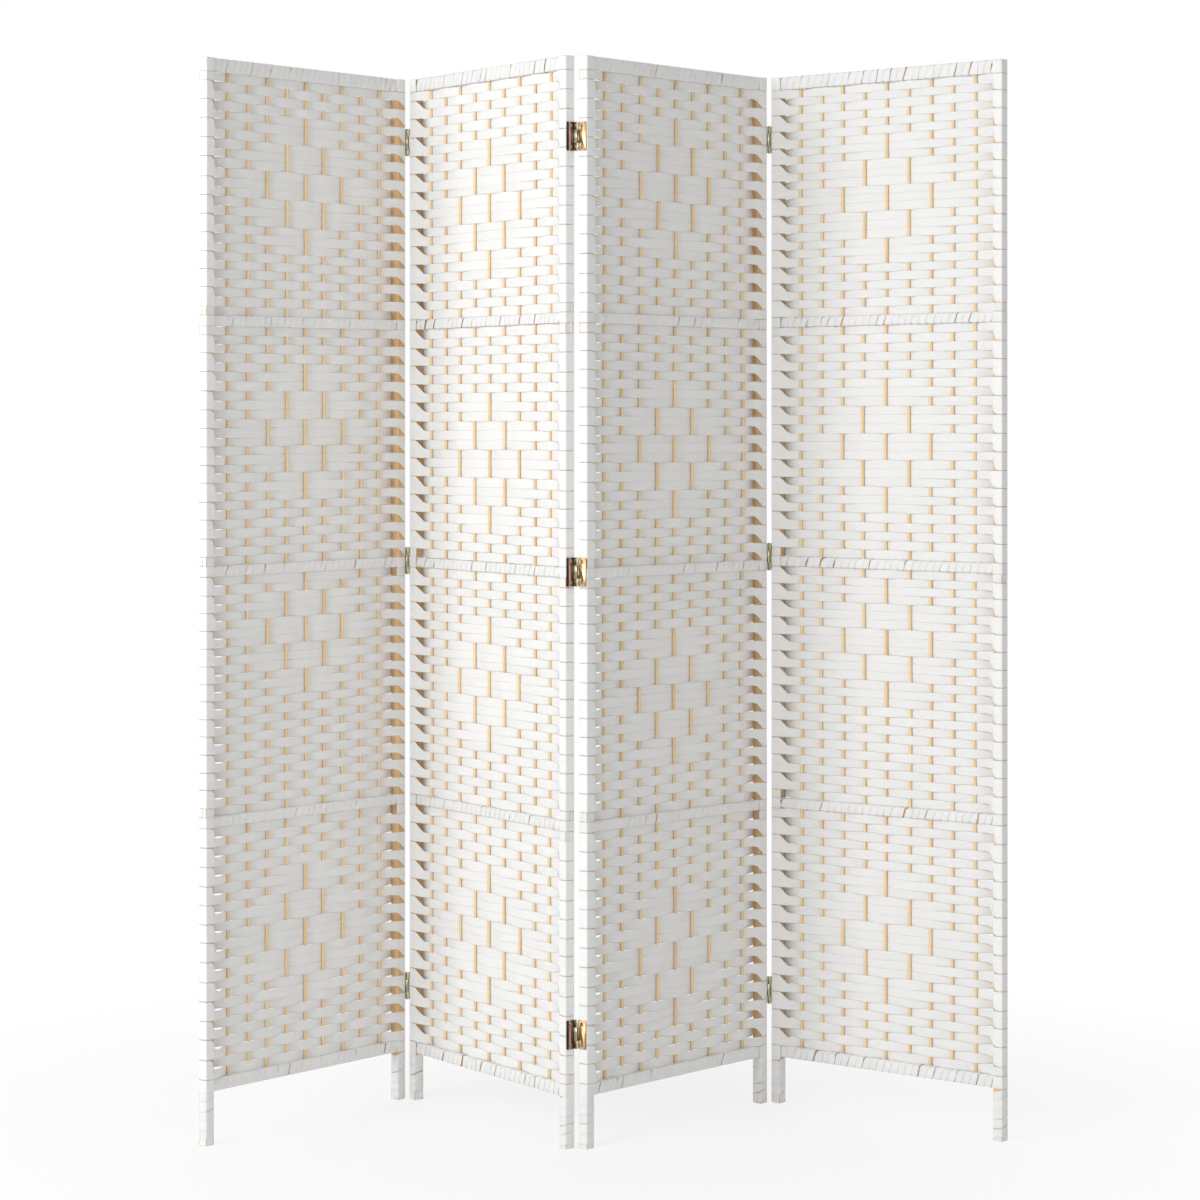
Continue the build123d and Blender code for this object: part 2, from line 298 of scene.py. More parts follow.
class NodeBoard:
    """A node tree with short calls for adding nodes and links."""

    def __init__(self, tree: bpy.types.NodeTree) -> None:
        """Empties the tree.

        Args:
            tree: The tree of a material or of the world.
        """
        self.tree = tree
        tree.nodes.clear()

    def node(self, kind: str, inputs: dict | None = None, **settings: object) -> bpy.types.Node:
        """Adds a node.

        Args:
            kind: Blender's name of the node, without its first word.
            inputs: Values or output sockets by the input's name or number.
            **settings: Properties of the node.

        Returns:
            The node.
        """
        made = self.tree.nodes.new(f"ShaderNode{kind}")
        for key, value in settings.items():
            setattr(made, key, value)
        for key, value in (inputs or {}).items():
            self.feed(made.inputs[key], value)
        return made

    def feed(self, socket: Socket, value: object) -> None:
        """Gives a socket a value, or a link where the value is another socket.

        Args:
            socket: The input.
            value: A number, a colour or an output socket.
        """
        if isinstance(value, Socket):
            self.tree.links.new(value, socket)
        else:
            socket.default_value = value

    def math(self, operation: str, *values: object) -> Socket:
        """Adds a sum and gives its result.

        Args:
            operation: Blender's name of the sum.
            *values: Its numbers or sockets.

        Returns:
            The result's socket.
        """
        return self.node("Math", dict(enumerate(values)), operation=operation).outputs[0]

    def total(self, values: Iterable[object], shares: Iterable[float]) -> Socket:
        """Adds up values, each times its share.

        Args:
            values: Numbers or sockets.
            shares: A number for each of them.

        Returns:
            The total's socket.
        """
        result = 0.0
        for value, share in zip(values, shares):
            result = self.math("MULTIPLY_ADD", value, share, result)
        return result

    def vector(self, operation: str, output: str, *values: object) -> Socket:
        """Adds a sum of vectors and gives its result.

        Args:
            operation: Blender's name of the sum.
            output: The name of the result's socket.
            *values: Its vectors or sockets.

        Returns:
            The result's socket.
        """
        return self.node("VectorMath", dict(enumerate(values)), operation=operation).outputs[output]

    def noise(self, place: Socket, grain: Grain) -> Socket:
        """Adds a noise pattern and gives its value.

        Args:
            place: The socket of the place.
            grain: How fine it is.

        Returns:
            The value's socket.
        """
        inputs = {"Scale": 1.0, "Detail": grain.detail}
        inputs["Vector"] = self.node("Mapping", {"Vector": place, "Scale": grain.scale}).outputs[0]
        return self.node("TexNoise", inputs).outputs[0]

    def object_place(self) -> Socket:
        """Adds the place on the object.

        Returns:
            Its socket.
        """
        return self.node("TexCoord").outputs["Object"]

    def ribbon_place(self) -> Socket:
        """Adds the place on the UV map.

        Returns:
            Its socket.
        """
        return self.node("UVMap", uv_map="ribbon").outputs[0]

    def parts(self, vector: Socket) -> Sequence[Socket]:
        """Takes a vector apart.

        Args:
            vector: Its socket.

        Returns:
            The sockets of its coordinates.
        """
        return self.node("SeparateXYZ", {0: vector}).outputs

    def seen_straight(self) -> Socket:
        """Tells rays that see a surface, also in a mirror or through glass, from those that light it.

        Returns:
            The socket of 1 for the first and 0 for the second.
        """
        rays = self.node("LightPath").outputs
        seen = self.math("MAXIMUM", rays["Is Camera Ray"], rays["Is Glossy Ray"])
        return self.math("MAXIMUM", seen, rays["Is Transmission Ray"])

    def mixed(self, share: Socket, first: Socket, second: Socket) -> Socket:
        """Mixes two shaders.

        Args:
            share: The socket of the second one's share.
            first: The first shader.
            second: The second shader.

        Returns:
            The mixed shader's socket.
        """
        return self.node("MixShader", {0: share, 1: first, 2: second}).outputs[0]


class MaterialBoard(NodeBoard):
    """The node tree of a new material, with its output and its main shader."""

    # A Mix node has its colour sockets after those for numbers and vectors.
    COLOUR_INPUTS = (6, 7)
    COLOUR_OUTPUT = 2

    def __init__(self, name: str) -> None:
        """Makes the material.

        Args:
            name: Its name.
        """
        self.material = bpy.data.materials.new(name)
        self.material.use_nodes = True
        super().__init__(self.material.node_tree)
        self.shader = self.node("BsdfPrincipled")
        self.output = self.node("OutputMaterial", {0: self.shader.outputs[0]})

    def shade(self, colour: object, roughness: object, gloss: float = 0.5, metallic: float = 0.0) -> None:
        """Sets the main shader.

        Args:
            colour: A colour or its socket.
            roughness: A number or its socket.
            gloss: How strongly it mirrors where it isn't metal.
            metallic: 1 for metal.
        """
        self.feed(self.shader.inputs["Base Color"], colour)
        self.feed(self.shader.inputs["Roughness"], roughness)
        self.feed(self.shader.inputs["Specular IOR Level"], gloss)
        self.feed(self.shader.inputs["Metallic"], metallic)

    def ramp(self, share: Socket, stops: tuple[tuple[float, Triple], ...]) -> Socket:
        """Adds a colour ramp.

        Args:
            share: The socket that picks the colour.
            stops: Places from 0 to 1 with their colours.

        Returns:
            The colour's socket.
        """
        made = self.node("ValToRGB", {0: share})
        points = made.color_ramp.elements
        while len(points) < len(stops):
            points.new(0.5)
        for point, (place, colour) in zip(points, stops):
            point.position = place
            point.color = (*colour, 1.0)
        return made.outputs[0]

    def tinted(self, share: Socket, first: Socket, second: Triple) -> Socket:
        """Mixes a colour into another one.

        Args:
            share: The socket of the second colour's share.
            first: The first colour's socket.
            second: The second colour.

        Returns:
            The mixed colour's socket.
        """
        low, high = self.COLOUR_INPUTS
        inputs = {"Factor": share, low: first, high: (*second, 1.0)}
        return self.node("Mix", inputs, data_type="RGBA").outputs[self.COLOUR_OUTPUT]

    def bump(self, height: Socket, distance: float, strength: float) -> None:
        """Gives the main shader a bump.

        Args:
            height: The socket of the height, from 0 to 1.
            distance: How high 1 is, in metres.
            strength: How much of it shows.
        """
        made = self.node("Bump", {"Height": height, "Distance": distance, "Strength": strength})
        self.feed(self.shader.inputs["Normal"], made.outputs[0])


@dataclass(frozen=True)
class RibbonFinish:
    """Matt white ribbon of twisted paper cords that lie side by side.

    The shares are those of streaks, fibres, patches, cords and the strip's tone in the tint, and of
    streaks, fibres and cords in the relief. The cords' share in the tint is painted shade: the
    valleys between cords are duller.
    """

    name: str = "white paper ribbon"
    light: Triple = (0.905, 0.903, 0.893)
    dull: Triple = (0.845, 0.84, 0.828)
    tint_range: tuple[float, float] = (0.36, 0.85)
    cords: int = 11
    streaks: Grain = Grain((14.0, 7.0, 1.0), 4.0)
    fibres: Grain = Grain((160.0, 60.0, 1.0), 2.0)
    patches: Grain = Grain((9.0, 9.0, 9.0), 2.0)
    tint_shares: tuple[float, ...] = (0.8, 0.25, 0.25, 0.12, 1.0)
    relief_shares: tuple[float, ...] = (0.6, 0.25, 0.55)
    relief: tuple[float, float] = (0.00045, 1.0)
    roughness: float = 0.72
    gloss: float = 0.25

    def material(self) -> Material:
        """Builds it: cords across the UV's second axis, streaks along the first.

        Returns:
            The material.
        """
        board = MaterialBoard(self.name)
        uv = board.ribbon_place()
        tone = board.node("Attribute", attribute_name="tone").outputs["Fac"]
        turn = board.math("MULTIPLY", board.parts(uv)[1], self.cords * 2 * math.pi)
        cord = board.math("MULTIPLY_ADD", board.math("SINE", turn), 0.5, 0.5)
        streaks = board.noise(uv, self.streaks)
        fibres = board.noise(uv, self.fibres)
        patches = board.noise(board.object_place(), self.patches)
        # The cord term makes the tint duller in the valleys between cords: painted shade.
        share = board.total((streaks, fibres, patches, cord, tone), self.tint_shares)
        low, high = self.tint_range
        colour = board.ramp(share, ((low, self.dull), (high, self.light)))
        board.shade(colour, self.roughness, self.gloss)
        board.bump(board.total((streaks, fibres, cord), self.relief_shares), *self.relief)
        return board.material


@dataclass(frozen=True)
class WoodFinish:
    """Bare wood with its grain running up the piece.

    The shares are those of grain and patches in the tint.
    """

    name: str
    light: Triple
    dark: Triple
    roughness: float
    grain: Grain = Grain((260.0, 260.0, 260.0 / 28), 5.0)
    patches: Grain = Grain((34.0, 34.0, 3.0), 3.0)
    tint_shares: tuple[float, float] = (0.65, 0.45)
    tint_range: tuple[float, float] = (0.34, 0.70)
    rough_change: float = 0.2
    gloss: float = 0.3
    relief: tuple[float, float] = (0.0003, 0.8)

    def material(self) -> Material:
        """Builds it: noise on Object coordinates, stretched along the height.

        Returns:
            The material.
        """
        board = MaterialBoard(self.name)
        place = board.object_place()
        grain = board.noise(place, self.grain)
        patches = board.noise(place, self.patches)
        low, high = self.tint_range
        share = board.total((grain, patches), self.tint_shares)
        colour = board.ramp(share, ((low, self.dark), (high, self.light)))
        board.shade(colour, board.math("MULTIPLY_ADD", grain, self.rough_change, self.roughness), self.gloss)
        board.bump(grain, *self.relief)
        return board.material


@dataclass(frozen=True)
class LeafFinish:
    """Yellow passivated steel, whose tint changes across a leaf as it mirrors its surroundings.

    The tint bands across a leaf are painted reflections and highlights. The drifts are how far
    patches and brushing move the tint, from one end of their range to the other.
    """

    name: str
    tints: tuple[tuple[float, Triple], ...]
    patches: Grain = Grain((90.0, 90.0, 35.0), 2.0)
    brushing: Grain = Grain((1500.0, 1500.0, 220.0), 3.0)
    drifts: tuple[float, float] = (0.15, 0.08)
    roughness: float = 0.12
    rough_change: float = 0.25
    relief: tuple[float, float] = (0.00005, 0.6)

    def material(self) -> Material:
        """Builds it: the UV's first axis picks the tint, which noise moves a little either way.

        Returns:
            The material.
        """
        board = MaterialBoard(self.name)
        place = board.object_place()
        across = board.parts(board.ribbon_place())[0]
        patches = board.noise(place, self.patches)
        brushing = board.noise(place, self.brushing)
        shares = (1.0, *self.drifts, sum(self.drifts))
        # The ramp's bands across the leaf are painted reflections and highlights, not the metal's own
        # colour.
        colour = board.ramp(board.total((across, patches, brushing, -0.5), shares), self.tints)
        rough = board.math("MULTIPLY_ADD", brushing, self.rough_change, self.roughness)
        board.shade(colour, rough, metallic=1.0)
        board.bump(brushing, *self.relief)
        return board.material


@dataclass(frozen=True)
class ScrewFinish:
    """Dull dark brass-coloured steel with a cross recess in the head."""

    name: str = "screw steel"
    # The bright stops from 0.36 to 0.62 are a painted highlight ring on the head; the dark stops are the
    # screw's own dull colour.
    tints: tuple[tuple[float, Triple], ...] = (
        (0.20, (0.10, 0.05, 0.03)), (0.36, (0.95, 0.88, 0.70)), (0.62, (0.95, 0.88, 0.70)),
        (0.78, (0.10, 0.05, 0.03)), (1.0, (0.16, 0.09, 0.05)),
    )
    # recess: the cross recess's colour, nearly black: painted shade in the recess.
    recess: Triple = (0.02, 0.012, 0.008)
    arm_half_width: float = 0.05
    arm_reach: float = 0.26
    uv_middle: Triple = (0.5, 0.5, 0.0)
    specks: Grain = Grain((900.0, 900.0, 900.0), 3.0)
    tint_shares: tuple[float, float] = (2.0, 0.3)
    roughness: float = 0.22
    rough_change: float = 0.3
    relief: tuple[float, float] = (0.0006, 1.0)

    def material(self) -> Material:
        """Builds it: rings of tint about the UV's middle, with two crossed dark arms.

        Returns:
            The material.
        """
        board = MaterialBoard(self.name)
        centred = board.vector("SUBTRACT", "Vector", board.ribbon_place(), self.uv_middle)
        away = board.parts(board.vector("ABSOLUTE", "Vector", centred))
        thin = [board.math("LESS_THAN", away[axis], self.arm_half_width) for axis in (0, 1)]
        near = [board.math("LESS_THAN", away[axis], self.arm_reach) for axis in (1, 0)]
        cross = board.math("MAXIMUM", *(board.math("MULTIPLY", *arm) for arm in zip(thin, near)))
        specks = board.noise(board.object_place(), self.specks)
        share = board.total((board.vector("LENGTH", "Value", centred), specks), self.tint_shares)
        # The cross arms take the recess colour, painted shade; the rings carry a painted highlight.
        colour = board.tinted(cross, board.ramp(share, self.tints), self.recess)
        rough = board.math("MULTIPLY_ADD", specks, self.rough_change, self.roughness)
        board.shade(colour, rough, metallic=1.0)
        board.bump(board.math("SUBTRACT", 1.0, cross), *self.relief)
        return board.material


@dataclass(frozen=True)
class RoomFinish:
    """White floor that keeps the shadow near the screen and fades into a white room."""

    name: str = "white floor"
    colour: tuple[float, ...] = (0.9, 0.9, 0.9, 1.0)
    roughness: float = 0.9
    near: float = 0.3
    far: float = 1.4
    least: float = 0.72

    def material(self) -> Material:
        """Builds it: matt white near the origin, plain white for the camera further out.

        Returns:
            The material.
        """
        board = MaterialBoard(self.name)
        board.shade(self.colour, self.roughness, 0.0)
        reach = board.vector("LENGTH", "Value", board.object_place())
        away = board.node("MapRange", {0: reach, 1: self.near, 2: self.far, 3: self.least}).outputs[0]
        share = board.math("MULTIPLY", away, board.seen_straight())
        white = board.node("Emission", {"Color": WHITE, "Strength": 1.0}).outputs[0]
        board.feed(board.output.inputs[0], board.mixed(share, board.shader.outputs[0], white))
        return board.material


@dataclass(frozen=True)
class SectionPattern:
    """One woven section: how many picks it has and at which pick its diamond's middle is."""

    DIAMOND = ((0, (0, 3, 5, 7, 10)), (3, (1, 4, 6, 9)), (6, (0, 2, 5, 8, 10)))

    picks: int
    middle: int

    def away(self) -> Array:
        """Counts the picks from the diamond's middle.

        Returns:
            A number for each pick, below 0 above the middle.
        """
        return np.arange(1, self.picks + 1) - self.middle

    def behind(self) -> Array:
        """Where a pick passes behind a stake: plain weave but for the five lines of the diamond.

        Returns:
            Picks by columns, True where the pick is behind. Columns 0 and 10 are the posts.
        """
        away = self.away()
        column = np.arange(STAKE_COUNT + 2)
        table = (away[:, None] % 2 == 0) == (column[None, :] % 2 == 0)
        for reach, columns in self.DIAMOND:
            table[np.abs(away) == reach] = np.isin(column, columns)
        return table

    def front_rows(self) -> Array:
        """Which picks pass in front of both posts.

        Returns:
            True for each such pick.
        """
        return self.away() % 2 == 1


@dataclass(frozen=True)
class PostFan:
    """How a ribbon spreads to two picks' height as it comes to a post."""

    SLIT_PLACE = 15.0
    SLIT_REACH = 8.0
    FULL_WANDER = 9.0

    start: float
    end: float
    bulge: float
    slit: float = 0.0

    def share(self, distance: Array, wander: Array) -> Array:
        """How far the ribbon has spread: a power of the distance run from start to end.

        Args:
            distance: From the post's inner corner, positive towards the weave.
            wander: How far each pick is off that place. A short fan has less of it.

        Returns:
            0 for one pick's height and 1 for two.
        """
        length = self.start - self.end
        distance = distance + wander * min(1.0, length / self.FULL_WANDER)
        return np.clip((self.start - distance) / length, 0.0, 1.0) ** self.bulge

    def drawn_in(self, distance: Array) -> Array:
        """How far the free edge draws in before the first stick, leaving a slit: a bell curve.

        Args:
            distance: From the post's inner corner, positive towards the weave.

        Returns:
            The draw in millimetres.
        """
        return self.slit * np.exp(-(((distance - self.SLIT_PLACE) / self.SLIT_REACH) ** 2))


@dataclass(frozen=True)
class RibbonStrip:
    """A ribbon along a path: a thin closed strip with round edges and a slight cup."""

    RING = np.array([
        (-0.5, 0.0), (-0.475, 0.5), (-0.3, 0.5), (0.3, 0.5), (0.475, 0.5),
        (0.5, 0.0), (0.475, -0.5), (0.3, -0.5), (-0.3, -0.5), (-0.475, -0.5),
    ])
    CUP_LEVEL = 0.33

    thickness: float = RIBBON_THICK

    def lay(
        self, surface: Surface, middle: Array, across: Array, normal: Array, tone: Array | float,
        cup: Array | float = 0.0, curl: Array | float = 0.0, closed: bool = False,
    ) -> None:
        """Sweeps the strip's section: middle plus across times v plus normal times the offset.

        With v from -0.5 to 0.5, the offset is the thickness, plus the cup times 4 v squared less
        0.33, less each edge's curl times the cube of 2 v. The UV is the length along the ribbon in
        metres and the place across it from 0 to 1.

        Args:
            surface: The mesh to add to.
            middle: Stations by 3, the ribbon's centre line.
            across: Stations by 3, from one edge to the other.
            normal: Stations by 3, unit vectors off its face.
            tone: One value for each station, or for all.
            cup: How far the edges stand off, for each station or for all.
            curl: Stations by 2, how far the first and the last edge bend back against the normal.
            closed: True if the path closes on itself.
        """
        v, t = self.RING.T
        ends = np.stack([np.clip(-2 * v, 0, 1), np.clip(2 * v, 0, 1)]) ** 3
        cups = np.broadcast_to(cup, len(middle))[:, None]
        curls = np.broadcast_to(curl, (len(middle), 2))
        off = t * self.thickness + cups * (4 * v ** 2 - self.CUP_LEVEL) - curls @ ends
        points = middle[:, None] + across[:, None] * v[:, None] + normal[:, None] * off[..., None]
        steps = np.linalg.norm(np.diff(middle, axis=0), axis=1) * MM
        run = np.concatenate([[0.0], np.cumsum(steps)])
        surface.add_tube(points, join(run[:, None], v + 0.5), tone, closed)


@dataclass(frozen=True)
class Rails:
    """Heights of a panel's five rails.

    Attributes:
        slants: How far the photograph shows each rail's left and right end off its own height.
    """

    slants: tuple[tuple[float, float], ...]

    def height(self, rail: int, x: Array | float, line: Line) -> Array | float:
        """Height along a rail: its own height plus a straight run between its two slants.

        Args:
            rail: 0 for the top rail to 4 for the bottom one.
            x: Places along the panel.
            line: Which of the rail's lines.

        Returns:
            The heights.
        """
        left, right = self.slants[rail]
        centre = RAIL_CENTRES[rail] + left + (right - left) * x / PANEL_WIDTH
        return centre + line.value * RAIL_HEIGHTS[rail] / 2


@dataclass(frozen=True)
class Stakes:
    """The nine sticks of a panel, which wander a few millimetres from their places.

    Attributes:
        shifts: For the middle of each section, how far each stick is off its own place.
    """

    MIDDLES = (1490.0, 1093.0, 697.0, 295.0)
    ENDS = (92.0, 1686.0)
    STATIONS = 62
    SIDES = 12
    UNEVEN = 0.03
    WAVE = 61.0
    NEXT_PHASE = 2.1

    shifts: tuple[tuple[float, ...], ...]

    def x(self, z: Array) -> Array:
        """Place of each stick at a height: eased from one section's shift to the next one's.

        Args:
            z: Heights.

        Returns:
            Heights by sticks.
        """
        first, last, spans = self.MIDDLES[0], self.MIDDLES[-1], len(self.MIDDLES) - 1
        run = (first - z) / (first - last) * spans
        low = np.clip(np.floor(run), 0, spans - 1).astype(int)
        share = smooth(run - low)[:, None]
        shifts = np.array(self.shifts)
        places = FIRST_STAKE + STAKE_PITCH * np.arange(STAKE_COUNT)
        return places + shifts[low] * (1 - share) + shifts[low + 1] * share

    def drawn(self) -> Surface:
        """Draws the sticks: circles carried up each stick's own line, a little uneven.

        Returns:
            The mesh with all of them.
        """
        surface = Surface()
        z = np.linspace(*self.ENDS, self.STATIONS)
        angle = -round_angles(self.SIDES)
        for stick, line in enumerate(self.x(z).T):
            uneven = self.UNEVEN * np.sin(z / self.WAVE + stick * self.NEXT_PHASE)
            radius = STAKE_RADIUS * (1 + uneven[:, None])
            y = radius * np.sin(angle) * STAKE_DEPTH / STAKE_RADIUS
            points = join(line[:, None] + radius * np.cos(angle), y, z[:, None])
            surface.add_tube(points, join(z[:, None] * MM, angle))
        return surface


@dataclass(frozen=True)
class PanelPlan:
    """What one panel's own weave, rails and sticks look like in the photograph."""

    number: int
    sections: tuple[SectionPattern, ...]
    left_fan: PostFan
    right_fan: PostFan
    rails: Rails
    stakes: Stakes


@dataclass
class Weave:
    """One woven section: a single ribbon that goes to and fro, round the posts and the sticks.

    Attributes:
        plan: The panel's plan.
        section: 0 for the top section to 3 for the bottom one.
        random: The section's own random draws.
        edges: The share of the section's height above each line between two picks.
        waves: Size and phase of each line's two waves.
    """

    SUB_STEPS = 6
    EASE = 0.1
    STAKE_PLAY = 0.05
    STAKE_LIFT = STAKE_DEPTH + STAKE_PLAY + RIBBON_THICK / 2
    LAP = 0.12
    SHINGLE = 0.45
    FACE_Y = POST_WOOD / 2 + 0.5
    OUTER_X = 0.5
    CORNER = 1.8
    LEAVE = 1.5
    LEAVE_DROP = 0.2
    FACE_STEPS = (0.0, 4.0, 9.0)
    BEFORE_CORNER = 2.0
    PAST_CORNER = 3.0
    CURL = 1.5
    CURL_SPREAD = 0.35
    HEIGHT_SPREAD = 0.035
    SWAY = 0.32
    SWAY_LENGTH = 83.0
    RIPPLE = 0.07
    RIPPLE_LENGTH = 23.0
    RIPPLE_PHASE = 2
    CALM_PART = 8
    MOST_WANDER = 1.6
    SEAM = 0.12
    SEAM_SPREAD = 0.16
    DEPTH_SPREAD = 0.08
    TONE_SPREAD = 0.16
    CUP = (0.05, 0.12)
    FIRST_SEED = 100

    plan: PanelPlan
    section: int
    random: np.random.Generator = field(init=False)
    edges: Array = field(init=False)
    waves: Array = field(init=False)

    def __post_init__(self) -> None:
        """Draws the picks' own heights and the waves of the lines between them."""
        self.random = np.random.default_rng(self.FIRST_SEED * self.plan.number + self.section)
        heights = self.random.normal(1.0, self.HEIGHT_SPREAD, self.pattern.picks)
        edges = np.concatenate([[0.0], np.cumsum(heights)])
        self.edges = edges / edges[-1]
        self.waves = self.random.normal(0.0, 1.0, (self.pattern.picks + 1, 4))

    @property
    def pattern(self) -> SectionPattern:
        """The section's own pattern.

        Returns:
            The pattern.
        """
        return self.plan.sections[self.section]

    def boundary(self, row: Array, x: Array) -> Array:
        """Height of the line between two picks, which bends a little along the panel.

        It runs from the rail above to the rail below by the picks' own heights, plus two slow
        waves that die out at the rails. A row between two whole ones is halfway between them.

        Args:
            row: Line numbers from 0 at the top, whole or not.
            x: Places along the panel.

        Returns:
            The heights.
        """
        picks = self.pattern.picks
        row = np.clip(row, 0, picks)
        base = np.floor(np.minimum(row, picks - 1)).astype(int)
        part = row - base
        share = self.edges[base] * (1 - part) + self.edges[base + 1] * part
        top = self.plan.rails.height(self.section, x, Line.LOW)
        bottom = self.plan.rails.height(self.section + 1, x, Line.HIGH)
        wave = self.waves[base] * (1 - part)[..., None] + self.waves[base + 1] * part[..., None]
        sway = self.SWAY * wave[..., 0] * np.sin(x / self.SWAY_LENGTH + wave[..., 1])
        sway += self.RIPPLE * wave[..., 2] * np.sin(
            x / self.RIPPLE_LENGTH + wave[..., 3] * self.RIPPLE_PHASE)
        fade = np.minimum(1.0, np.minimum(share, 1 - share) * self.CALM_PART)
        return top + (bottom - top) * share + sway * fade

    def post_path(self, side: Side, facing: Array) -> tuple[Array, Array]:
        """Plan of a ribbon from the post's inner corner to the middle of its outer face.

        Args:
            side: Which post.
            facing: For each pick, -1 if it passes in front of the post and 1 if behind.

        Returns:
            x and y, picks by stations, from the inner corner outwards.
        """
        face, outer = self.FACE_Y, self.OUTER_X
        x, depth = np.concatenate([
            [(POST_INNER + self.LEAVE, face - self.LEAVE_DROP)],
            join(POST_INNER - np.array(self.FACE_STEPS), face),
            [(outer + self.CORNER + self.BEFORE_CORNER, face)],
            post_corner(outer, face, self.CORNER),
            [(outer, self.PAST_CORNER), (outer, 0.0)],
        ]).T
        x = x if side is Side.LEFT else PANEL_WIDTH - x
        return np.broadcast_to(x, (len(facing), len(x))), facing * depth

    def rows_plan(self) -> tuple[Array, Array]:
        """Plan of every pick from one post's outer face to the other's.

        Between two sticks a ribbon goes from one side to the other on a straight line that eases a
        little at both ends: u less a tenth of the sine of a full turn.

        Returns:
            x and y, picks by stations, from left to right.
        """
        behind = self.pattern.behind()
        picks = self.pattern.picks
        facing = np.where(self.pattern.front_rows(), -1.0, 1.0)[:, None]
        left_x, left_y = self.post_path(Side.LEFT, facing)
        right_x, right_y = self.post_path(Side.RIGHT, facing)
        sticks = self.plan.stakes.x(self.boundary(np.arange(picks) + 0.5, np.full(picks, PANEL_WIDTH / 2)))
        lift = np.where(behind[:, 1:-1], self.STAKE_LIFT, -self.STAKE_LIFT)
        edge_y = facing * (self.FACE_Y - self.LEAVE_DROP)
        knots_x = np.concatenate([left_x[:, :1], sticks, right_x[:, :1]], axis=1)
        knots_y = np.concatenate([edge_y, lift, edge_y], axis=1)
        u = np.arange(1, self.SUB_STEPS + 1) / self.SUB_STEPS
        ease = np.tile(u - np.sin(2 * np.pi * u) * self.EASE, (STAKE_COUNT + 1, 1))
        ease[[0, -1]] = u
        run_x = knots_x[:, :-1, None] + np.diff(knots_x, axis=1)[..., None] * u
        run_y = knots_y[:, :-1, None] + np.diff(knots_y, axis=1)[..., None] * ease
        x = np.concatenate([left_x[:, ::-1], run_x.reshape(picks, -1), right_x[:, 1:]], axis=1)
        y = np.concatenate([left_y[:, ::-1], run_y.reshape(picks, -1), right_y[:, 1:]], axis=1)
        return x, y

    def edges_of_rows(self, x: Array) -> tuple[Array, Array, Array]:
        """Upper and lower edge of every pick, spread to two picks' height on the posts.

        A pick in front spreads downwards at the right post and upwards at the left one, and a pick
        behind the other way, so that the ribbon comes down one pick as it goes round a post. An
        edge curls up by four times its spread times the rest of it, most where it is half spread.

        Args:
            x: Picks by stations.

        Returns:
            Heights of the two edges, picks by stations, and how far each curls up, 2 by that.
        """
        picks = self.pattern.picks
        front = self.pattern.front_rows()[:, None]
        wander = np.clip(self.random.normal(0.0, 1.0, (picks, 1)), -self.MOST_WANDER, self.MOST_WANDER)
        from_left = x - POST_INNER
        from_right = PANEL_WIDTH - POST_INNER - x
        left = self.plan.left_fan.share(from_left, wander)
        right = self.plan.right_fan.share(from_right, wander)
        row = np.arange(picks, dtype=float)[:, None]
        up = np.where(front, left, right)
        down = np.where(front, right, left)
        seam = self.SEAM + np.abs(self.random.normal(0.0, self.SEAM_SPREAD, (picks, 2)))
        on_post = np.maximum(left, right)
        above = self.boundary(row - up, x) + self.LAP - (self.LAP + seam[:, :1]) * on_post
        below = self.boundary(row + 1 + down, x) - self.LAP + (self.LAP + seam[:, 1:]) * on_post
        above -= np.where(front, self.plan.left_fan.drawn_in(from_left), 0.0)
        below += np.where(front, self.plan.right_fan.drawn_in(from_right), 0.0)
        curl = self.CURL * 4 * np.stack([up * (1 - up), down * (1 - down)])
        return above, below, curl * np.abs(self.random.normal(1.0, self.CURL_SPREAD, (picks, 1)))

    def drawn(self) -> Surface:
        """Draws the section as one ribbon whose picks follow one another to and fro.

        Returns:
            The mesh with the ribbon.
        """
        x, y = self.rows_plan()
        above, below, curl = self.edges_of_rows(x)
        picks = self.pattern.picks
        back = ~self.pattern.front_rows()
        for table in (x, y, above, below, *curl):
            table[back] = table[back, ::-1]
        y = y + self.random.normal(0.0, self.DEPTH_SPREAD, (picks, 1))
        tone = np.broadcast_to(self.random.uniform(0.0, self.TONE_SPREAD, (picks, 1)), x.shape)
        cup = np.broadcast_to(self.random.normal(*self.CUP, (picks, 1)), x.shape)
        once = np.ones(x.shape, bool)
        once[1:, 0] = False
        x, y, above, below = x[once], y[once], above[once], below[once]
        tilt = self.SHINGLE * np.clip(y / self.STAKE_LIFT, -1.0, 1.0)
        tilt *= np.clip((self.FACE_Y - np.abs(y)) / (self.FACE_Y - self.STAKE_LIFT), 0.0, 1.0)
        way_x, way_y = unit(np.gradient(join(x, y), axis=0)).T
        surface = Surface()
        RibbonStrip().lay(
            surface, join(x, y, (above + below) / 2), join(0.0, tilt, below - above),
            join(-way_y, way_x, 0.0), tone[once], cup[once], curl[:, once].T,
        )
        return surface


